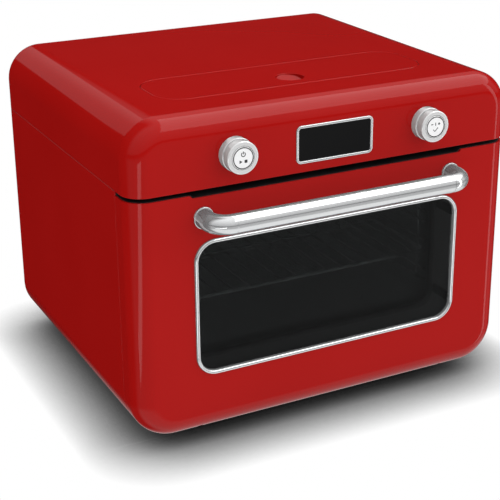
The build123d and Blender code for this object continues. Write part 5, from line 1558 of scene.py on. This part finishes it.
@dataclass
class Signs:
    """Small dark generic signs inlaid in a button's face, with a dark ring of painted shade for the groove
    round the button.

    Args:
        side: The button's side.
        middle: Middle (x, z) of the face.
        face: Depth of the face.
        line: Stroke width.
        lift: Height over the face.
        thick: Thickness of the inlay.
        ring: Outer and inner radius of the dark line round the face, painted shade for the groove round the
            button.
    """

    side: Side
    middle: Pair
    face: float
    line: float = 1.0 * MM
    lift: float = 0.04 * MM
    thick: float = 0.12 * MM
    ring: Pair = (12.1 * MM, 11.0 * MM)

    def build(self) -> bpy.types.Object:
        """Lays the side's printed signs on the face, and round them the dark line of painted groove shade.

        Returns:
            The inlay.
        """
        signs = self._power() if self.side is Side.LEFT else self._set()
        regions = [[sign + self.middle] for sign in signs]
        # Painted shade: a dark ring standing in for the groove between button and knob.
        regions.append([circle(self.middle, radius, 73) for radius in self.ring])
        surface = Surface()
        for region in regions:
            surface.flat(region, Plane.FRONT, self.face - self.lift)
        inlay = surface.mesh(f"button_signs_{self.side.word}")
        sheet_wall(inlay, self.thick)
        return settle(inlay, DARK_PRINT_AND_GROOVE_SHADE, f"button_{self.side.word}")

    def _stroke(self, path: np.ndarray) -> Loop:
        """Widens an open line into a closed outline."""
        side = line_normals(path) * self.line / 2
        return np.concatenate([path + side, (path - side)[::-1]])

    def _power(self) -> list[Loop]:
        """A power sign over a play and a stop mark.

        Returns:
            The signs' outlines about the middle of the face.
        """
        ring = self._stroke(arc((0, 4.2 * MM), 2.3 * MM, 125, 415, 28))
        bar = self._stroke(np.array([(0, 4.4), (0, 7.4)]) * MM)
        play = np.array([(-4.6, -5.6), (-1.2, -3.7), (-4.6, -1.8)]) * MM
        stop = rounded_loop(3.3 * MM, 3.3 * MM, 0.3 * MM, (3.0 * MM, -3.7 * MM), 3)
        return [ring, bar, play, stop]

    def _set(self) -> list[Loop]:
        """Minus, a dividing line and plus, over a tick.

        Returns:
            The signs' outlines about the middle of the face.
        """
        minus = self._stroke(np.array([(-6.0, 3.2), (-3.2, 3.2)]) * MM)
        divide = self._stroke(np.array([(0, 1.4), (0, 5.0)]) * MM)
        h, w = 1.5 * MM, self.line / 2
        arms = np.array([(-w, -h), (w, -h), (w, -w), (h, -w), (h, w), (w, w)])
        plus = np.concatenate([arms, -arms]) + (4.6 * MM, 3.2 * MM)
        tick = self._stroke(np.array([(-3.0, -3.0), (-0.9, -5.2), (3.4, -1.2)]) * MM)
        return [minus, divide, plus, tick]


@dataclass
class Collars:
    """The two fixed collars that the knobs turn in front of.

    Args:
        radius: Outer radius.
        proud: How far they stand out.
        edge: Rounding of the front edge.
        bore: Radius of the bore.
        thread: Radius and length of the thread behind the front.
    """

    radius: float = 19 * MM
    proud: float = 9 * MM
    edge: float = 0.9 * MM
    bore: float = 9.6 * MM
    thread: Pair = (14 * MM, 4.5 * MM)

    def build(self, form: BodyForm) -> bpy.types.Object:
        """Turns both collars from one profile.

        Args:
            form: The rounded body.

        Returns:
            Both collars as one piece.
        """
        face, back = form.front - self.proud, form.front + self.thread[1]
        turn = arc((self.radius - self.edge, 0), self.edge, 0, 90, 6)
        rim = np.stack([turn[:, 0], face + self.edge - turn[:, 1]], 1)
        inside = [(self.bore, face), (self.bore, back), (self.thread[0], back), (self.thread[0], form.front)]
        profile = np.concatenate([[(self.radius, form.front)], rim, inside])
        surface = Surface()
        for side in Side:
            grid = turned(front_middle(*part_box(f"knob_{side.word}")), profile)
            surface.grid(grid, closed_u=True, closed_v=True)
        return settle(surface.mesh("knob_collar_pair"), KNOB_CHROME, "oven", "knob_collars", angle=50)


@dataclass
class Display:
    """The display's chrome frame and its black glass.

    Args:
        frame: Width of the chrome frame.
        proud: How far it stands out.
        fullness: Power of the sine that shapes it; 1 is a plain half round.
        corner: Outer corner radius.
        recess: How far the glass lies behind the front.
        glass_edge: Bevel round the glass.
    """

    frame: float = 3.0 * MM
    proud: float = 1.4 * MM
    fullness: float = 0.55
    corner: float = 6 * MM
    recess: float = 0.25 * MM
    glass_edge: float = 0.3 * MM

    def build(self, form: BodyForm) -> list[bpy.types.Object]:
        """Makes the frame and the glass.

        Args:
            form: The rounded body.

        Returns:
            The frame and then the glass.
        """
        low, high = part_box("display_trim")
        centre, half = front_middle(low, high), self.frame / 2
        t = np.radians(np.linspace(0, 180, 13))
        bead = np.stack([half * (1 - np.cos(t)), form.front - self.proud * np.sin(t) ** self.fullness], 1)
        profile = np.concatenate([bead, [(self.frame, high.y), (half, high.y), (half, form.front)]])
        grid = framed((*front_size(low, high), self.corner), centre, profile, 8)
        trim = Surface().grid(grid, closed_u=True, closed_v=True).mesh("display_frame")
        settle(trim, CHROME, "oven", "display_trim", angle=50)
        inside = (*front_size(low, high, 2 * self.frame), self.corner - self.frame)
        face, bevel = form.front + self.recess, self.glass_edge
        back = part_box("display_glass")[1].y
        profile = np.array([(0.0, back), (0.0, face + bevel), (bevel, face)])
        glass = Surface().barrel(framed(inside, centre, profile, 8)).mesh("display_pane")
        return [trim, settle(glass, DISPLAY_BLACK, "oven", "display_glass")]


@dataclass
class TankLid:
    """The flush lid over the water tank, with its finger scoop.

    The scoop's floor slopes from deep at the front to shallow behind, and a small round leads the
    top into the scoop's wall.

    Args:
        thick: Lid thickness.
        edge: Rounding of the outer edge.
        corner: Outer corner radius.
        under_rim: How far the lid's lower edge goes in flat.
        scoop: Radius of the scoop.
        lead: Radius of the round that leads into it.
        deep: Scoop depth at its front.
        shallow: Scoop depth at its rear.
        floor_rings: Insets of the two rings where its wall meets its floor.
        floor_share: Radius of the floor's first inner ring, as a share of the scoop's.
        cup_wall: Thickness of the cup below its floor.
        cup_edge: Bevel round the cup.
        setback: Distance of the scoop's middle behind the lid's front edge.
        steps: Segments round it.
    """

    thick: float = 3 * MM
    edge: float = 0.9 * MM
    corner: float = 33 * MM
    under_rim: float = 3 * MM
    scoop: float = 16.5 * MM
    lead: float = 0.6 * MM
    deep: float = 9 * MM
    shallow: float = 1.6 * MM
    floor_rings: Pair = (0.5 * MM, 1.5 * MM)
    floor_share: float = 0.85
    cup_wall: float = 1.6 * MM
    cup_edge: float = 1 * MM
    setback: float = 32.5 * MM
    steps: int = 64

    def build(self) -> bpy.types.Object:
        """Makes the lid's top, edge, underside and scoop.

        Returns:
            The lid.
        """
        low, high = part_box("tank_lid")
        top, under = high.z, high.z - self.thick
        centre = ((low.x + high.x) / 2, (low.y + high.y) / 2)
        width, length = high.x - low.x, high.y - low.y
        profile = quarter(self.edge, 6) * (1, -1) + (0, top)
        rings = []
        for inset, z in [*profile, (0.0, under), (self.under_rim, under)]:
            ring = rounded_loop(width - 2 * inset, length - 2 * inset, self.corner - inset, centre, 16)
            rings.append(Plane.LEVEL.place(ring, z))
        surface = Surface().grid(np.stack(rings, 1), closed_u=True)
        middle = (0.0, low.y + self.setback)
        mouth = circle(middle, self.scoop + self.lead, self.steps)
        surface.flat([rings[0][:, :2], mouth], Plane.LEVEL, top)
        surface.flat([rings[-1][:, :2], mouth], Plane.LEVEL, under)
        self._scoop(surface, middle, top)
        return settle(surface.mesh("tank_lid_cover"), RED_ENAMEL, "lid", "tank_lid")

    def _scoop(self, surface: Surface, middle: Pair, top: float) -> None:
        """Adds the scoop and its cup below the lid, each as rings about an upright axis.

        The rings go in through the lead's round and over the floor, whose depth grows linearly
        towards the front. The first of them below the round is lifted off the floor a little.

        Args:
            surface: The lid so far.
            middle: Place of the axis.
            top: Level of the lid's top.
        """
        angle = full_turn(self.steps)
        r, turn = self.scoop, quarter(self.lead, 5)
        soft, flat = self.floor_rings
        rings = [turn[:, 0] + r, [r, r - soft, r - flat], np.linspace(r * self.floor_share, 0.0, 6)]
        radius = np.concatenate(rings)
        x, y = middle[0] + radius * np.cos(angle), middle[1] + radius * np.sin(angle)
        z = top - self.shallow - (self.deep - self.shallow) * (middle[1] + r - y) / (2 * r)
        z[:, : len(turn)] = top - turn[:, 1]
        z[:, len(turn)] += soft
        surface.grid(np.stack([x, y, z], -1), closed_u=True)
        mouth, low, bevel = r + self.lead, top - self.deep - self.cup_wall, self.cup_edge
        cup = np.array([(mouth, top - self.thick), (mouth, low + bevel), (mouth - bevel, low), (0.0, low)])
        x, y = middle[0] + cup[:, 0] * np.cos(angle), middle[1] + cup[:, 0] * np.sin(angle)
        surface.grid(np.stack([x, y, np.broadcast_to(cup[:, 1], x.shape)], -1), closed_u=True)


@dataclass
class DoorSealRing:
    """The soft hollow lip round the cavity's mouth.

    Args:
        width: Width of the lip.
        corner: Outer corner radius.
        base_height: Height of its base.
        base_edge: How far the base's sides lean in.
        crest_share: Half the crest's width, as a share of the lip's.
    """

    width: float = 8 * MM
    corner: float = 22 * MM
    base_height: float = 1.2 * MM
    base_edge: float = 0.3 * MM
    crest_share: float = 0.32

    def build(self) -> bpy.types.Object:
        """Carries a lip profile, a low base with a rounded crest, round the mouth.

        Returns:
            The seal.
        """
        low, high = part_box("door_seal")
        base, crest = high.y, low.y
        foot = base - self.base_height
        t = np.radians(np.linspace(0, 180, 13))
        across = self.width / 2 - self.width * self.crest_share * np.cos(t)
        bead = np.stack([across, foot - (foot - crest) * np.sin(t)], 1)
        start = [(0, base), (self.base_edge, foot)]
        end = [(self.width - self.base_edge, foot), (self.width, base)]
        profile = np.concatenate([start, bead, end])
        grid = framed((*front_size(low, high), self.corner), front_middle(low, high), profile, 12)
        seal = Surface().grid(grid, closed_u=True, closed_v=True).mesh("door_seal_lip")
        return settle(seal, SEAL_RUBBER, "oven", "door_seal", angle=50)


@dataclass
class WireShelf:
    """The wire shelf: a bent frame, wires from front to back and a cross bar.

    Args:
        frame: Frame wire radius.
        wire: Inner wire radius.
        pitch: Spacing of the wires.
        corner: Bend of the frame's corners.
    """

    frame: float = 2.5 * MM
    wire: float = 1.4 * MM
    pitch: float = 21 * MM
    corner: float = 12 * MM

    def build(self) -> bpy.types.Object:
        """Makes the frame and its wires as closed tubes.

        Returns:
            The shelf.
        """
        low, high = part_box("wire_shelf")
        x, start, end = high.x - self.frame, low.y + self.frame, high.y - self.frame
        middle, z = (start + end) / 2, high.z - self.frame
        loop = Plane.LEVEL.place(rounded_loop(2 * x, end - start, self.corner, (0, middle), 8), z)
        hoop = tube(np.concatenate([loop[-1:], loop, loop[:1]]), self.frame, 16)[:, 1:-1]
        surface = Surface().grid(hoop, closed_u=True, closed_v=True)
        count = int(2 * x / self.pitch)
        for across in (np.arange(count) - (count - 1) / 2) * self.pitch:
            wire = np.array([(across, start, z), (across, middle, z), (across, end, z)])
            surface.barrel(tube(wire, self.wire, 10))
        bar = np.array([(-x, middle, z), (0, middle, z), (x, middle, z)]) - (0, 0, self.wire / 2)
        surface.barrel(tube(bar, self.wire, 10))
        return settle(surface.mesh("shelf_wires"), SHELF_WIRE, "oven", "wire_shelf", angle=50)


@dataclass
class CarriedNodes:
    """Construction nodes whose own shape is shown, each in its finish.

    Args:
        nodes: The nodes by name.
        record: The record, which names each node's slot.
    """

    nodes: dict[str, bpy.types.Object]
    record: dict

    def dress(self) -> None:
        """Gives every node the finish that the record's slot names."""
        for part in self.record["subparts"]:
            node = self.nodes[part["node"]]
            SLOTS[part["material_slot"]].dress(node)
        LOG.info("%d construction nodes dressed", len(self.record["subparts"]))


# The studio


@dataclass(frozen=True)
class SoftBox:
    """A rectangular soft box very far away, seen only in glossy surfaces.

    A direction d meets it where d.across / d.centre and d.up / d.centre lie in its ranges.

    Args:
        centre: Direction of the plane that it lies in.
        across: First axis in that plane.
        up: Second axis in that plane.
        width: Lowest and highest place along the first axis.
        height: Lowest and highest place along the second axis.
        strength: Its brightness.
        edge: Softness of its edges.
    """

    centre: tuple[float, float, float]
    across: tuple[float, float, float]
    up: tuple[float, float, float]
    width: tuple[float, float]
    height: tuple[float, float]
    strength: float
    edge: float = 0.015

    def values(self) -> dict[str, object]:
        """The inputs of the soft_box group."""
        return {
            "Centre": self.centre, "Across": self.across, "Up": self.up, "Edge": self.edge,
            "Left": self.width[0], "Right": self.width[1], "Low": self.height[0], "High": self.height[1],
        }


@dataclass
class Studio:
    """Pale floor, soft boxes and the camera at the photograph's viewpoint.

    Args:
        eye: Camera place.
        yaw: Turn to the right of +Y, in degrees.
        pitch: Downward tilt, in degrees.
        roll: Turn about the view axis, in degrees.
        lens: Focal length.
        sensor: Sensor width that it belongs to.
        shift: Frame shift.
        floor_half: Half the floor's side.
        floor_gap: How far the floor lies under the feet.
        shadow_reach: How far the painted contact shadow spreads.
        shadow_power: Power of the openness that gives the floor's glow, and so its painted shadow.
        shadow_samples: Samples of that openness.
        level: Even share of the light on matt surfaces.
        slope: Direction in which that light grows.
        front_ramp: Height and grey of the surround in front, for reflections.
        back_ramp: The same behind.
        blend: How far the two run into each other, as a part of the direction along Y.
        side_fade: Where the surround behind darkens to the left, as parts of the direction along X.
        side_share: How much of it is left there.
        boxes: Soft boxes seen in reflections.
    """

    eye: Triple = (-0.6917, -1.3492, 0.756)
    yaw: float = 27.496
    pitch: float = 20.913
    roll: float = 0.247
    lens: float = 91.6
    sensor: float = 36.0
    shift: Pair = (-0.028, -0.05)
    floor_half: float = 6.0
    floor_gap: float = 0.2 * MM
    shadow_reach: float = 0.075
    shadow_power: float = 2.3
    shadow_samples: int = 16
    level: float = 0.97
    slope: Triple = (0.62, -0.02, 0.56)
    front_ramp: tuple[Pair, ...] = (
        (-1.0, 0.8), (-0.62, 0.75), (-0.5, 0.34), (-0.17, 0.28), (-0.05, 0.02), (0.03, 0.02), (0.08, 0.32),
        (0.5, 0.55), (0.8, 0.75), (1.0, 0.95),
    )
    back_ramp: tuple[Pair, ...] = (
        (-1.0, 0.7), (-0.6, 0.6), (-0.5, 0.05), (0.33, 0.012), (0.45, 0.3), (0.8, 0.8), (1.0, 1.0),
    )
    blend: float = 0.15
    side_fade: Pair = (-0.15, 0.2)
    side_share: float = 0.08
    boxes: tuple[SoftBox, ...] = (
        SoftBox((0, 0, 1), (1, 0, 0), (0, 1, 0), (0.38, 1.7), (-1.0, 0.52), 1.6),
        SoftBox((0, 1, 0), (1, 0, 0), (0, 0, 1), (-0.42, 0.145), (0.24, 0.62), 0.3),
        SoftBox((0, -1, 0), (-0.891, 0, -0.453), (-0.453, 0, 0.891), (0.45, 3.0), (-0.139, -0.019), 1.9),
        SoftBox((0, -1, 0), (1, 0, 0), (0, 0, 1), (1.2, 1.9), (-1.2, 1.0), 1.8),
    )

    def build(self) -> None:
        """Sets up everything round the oven."""
        bpy.context.scene.view_settings.view_transform = "Standard"
        self._camera()
        self._floor()
        self._world()

    def _camera(self) -> None:
        """Places the camera and makes it the scene's."""
        data = bpy.data.cameras.new("photo_view")
        data.lens, data.sensor_width = self.lens, self.sensor
        data.shift_x, data.shift_y = self.shift
        camera = bpy.data.objects.new("photo_view", data)
        turn = Matrix.Rotation(math.radians(-self.yaw), 4, "Z")
        turn = turn @ Matrix.Rotation(math.radians(90 - self.pitch), 4, "X")
        turn = turn @ Matrix.Rotation(math.radians(-self.roll), 4, "Z")
        camera.matrix_world = Matrix.Translation(self.eye) @ turn
        bpy.context.scene.collection.objects.link(camera)
        bpy.context.scene.camera = camera

    def _floor(self) -> None:
        """A wide pale floor under the feet that glows by itself, with a painted contact shadow: its glow is
        openness ^ shadow_power.
        """
        half = self.floor_half
        corner = np.array([(-half, -half), (half, -half), (half, half), (-half, half)])
        floor = Surface().fan(Plane.LEVEL.place(corner, -self.floor_gap)).mesh("studio_floor")
        paper = bpy.data.materials.new("studio_paper")
        paper.use_nodes = True
        tree = paper.node_tree
        tree.nodes.remove(tree.nodes["Principled BSDF"])
        openness = tree.nodes.new("ShaderNodeAmbientOcclusion")
        openness.samples = self.shadow_samples
        feed(tree, openness.inputs["Distance"], self.shadow_reach)
        glow = tree.nodes.new("ShaderNodeEmission")
        # Painted contact shadow: the floor's glow is its openness to a power, darkest under the oven.
        painted_contact_shadow = math_node(tree, "POWER", openness.outputs["AO"], self.shadow_power)
        feed(tree, glow.inputs["Strength"], painted_contact_shadow)
        feed(tree, tree.nodes["Material Output"].inputs["Surface"], glow.outputs["Emission"])
        floor.data.materials.append(paper)
        floor.visible_glossy = False

    def _world(self) -> None:
        """White behind the oven, a soft slope of light on matt surfaces, soft boxes in glossy ones."""
        world = bpy.data.worlds.new("studio")
        bpy.context.scene.world = world
        world.use_nodes = True
        tree = world.node_tree
        ray = tree.nodes.new("ShaderNodeLightPath").outputs
        direction = tree.nodes.new("ShaderNodeTexCoord").outputs["Generated"]
        matt, glossy = self._slope(tree, direction), self._surround(tree, direction)
        lit = mix_node(tree, ray["Is Glossy Ray"], matt, glossy)
        seen = mix_node(tree, ray["Is Camera Ray"], lit, 1.0)
        feed_all(tree, tree.nodes["Background"], {"Color": (1, 1, 1, 1), "Strength": seen})

    def _slope(self, tree: bpy.types.NodeTree, direction: bpy.types.NodeSocket) -> bpy.types.NodeSocket:
        """Light that grows along one direction: level + slope . direction, never below zero."""
        grown = math_node(tree, "ADD", dot_node(tree, direction, self.slope), self.level)
        return math_node(tree, "MAXIMUM", grown, 0.0)

    def _surround(self, tree: bpy.types.NodeTree, direction: bpy.types.NodeSocket) -> bpy.types.NodeSocket:
        """Two height ramps, front and back, and the soft boxes added to them.

        Args:
            tree: The world's nodes.
            direction: Socket with the direction that is looked in.

        Returns:
            The socket with the brightness.
        """
        split = tree.nodes.new("ShaderNodeSeparateXYZ")
        feed(tree, split.inputs["Vector"], direction)
        x, y, z = split.outputs
        height = range_node(tree, z, -1.0, 1.0).outputs["Result"]
        depth = range_node(tree, y, -self.blend, self.blend).outputs["Result"]
        side = range_node(tree, x, *self.side_fade, self.side_share).outputs["Result"]
        back = math_node(tree, "MULTIPLY", self._ramp(tree, height, self.back_ramp), side)
        total = mix_node(tree, depth, self._ramp(tree, height, self.front_ramp), back)
        for box in self.boxes:
            mask = tree.nodes.new("ShaderNodeGroup")
            mask.node_tree = bpy.data.node_groups["soft_box"]
            feed_all(tree, mask, {"Direction": direction, **box.values()})
            total = math_node(tree, "MULTIPLY_ADD", mask.outputs["Mask"], box.strength, total)
        return total

    def _ramp(
        self, tree: bpy.types.NodeTree, height: bpy.types.NodeSocket, stops: tuple[Pair, ...]
    ) -> bpy.types.NodeSocket:
        """Greys along the height.

        Args:
            tree: The world's nodes.
            height: Socket with the height, from 0 to 1.
            stops: Pairs of height, from -1 to 1, and grey.

        Returns:
            The socket with the grey.
        """
        return ramp_node(tree, height, [((z + 1) / 2, (grey, grey, grey)) for z, grey in stops])


def main() -> None:
    """Builds the studio, dresses the frame and makes every new piece."""
    logging.basicConfig(level=logging.INFO, format="%(name)s: %(message)s")
    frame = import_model()
    for make in (orange_peel_group, brushed_group, grain_group, soft_box_group):
        make()
    Studio().build()
    CarriedNodes(frame["nodes"], frame["record"]).dress()
    form = BodyForm()
    door = DoorSkin(form)
    unmirrored = [Hood(form).build(), Casing(form).build(), door.build(), TankLid().build()]
    door.strip()
    WindowTrim().build(form)
    LinerCoat().build()
    unmirrored += [*Handle().build(form), Collars().build(form)]
    for side in Side:
        unmirrored += Knob(side).build(form)
    for piece in unmirrored:
        piece.visible_glossy = False
    Display().build(form)
    DoorSealRing().build()
    WireShelf().build()


if __name__ == "__main__":
    main()
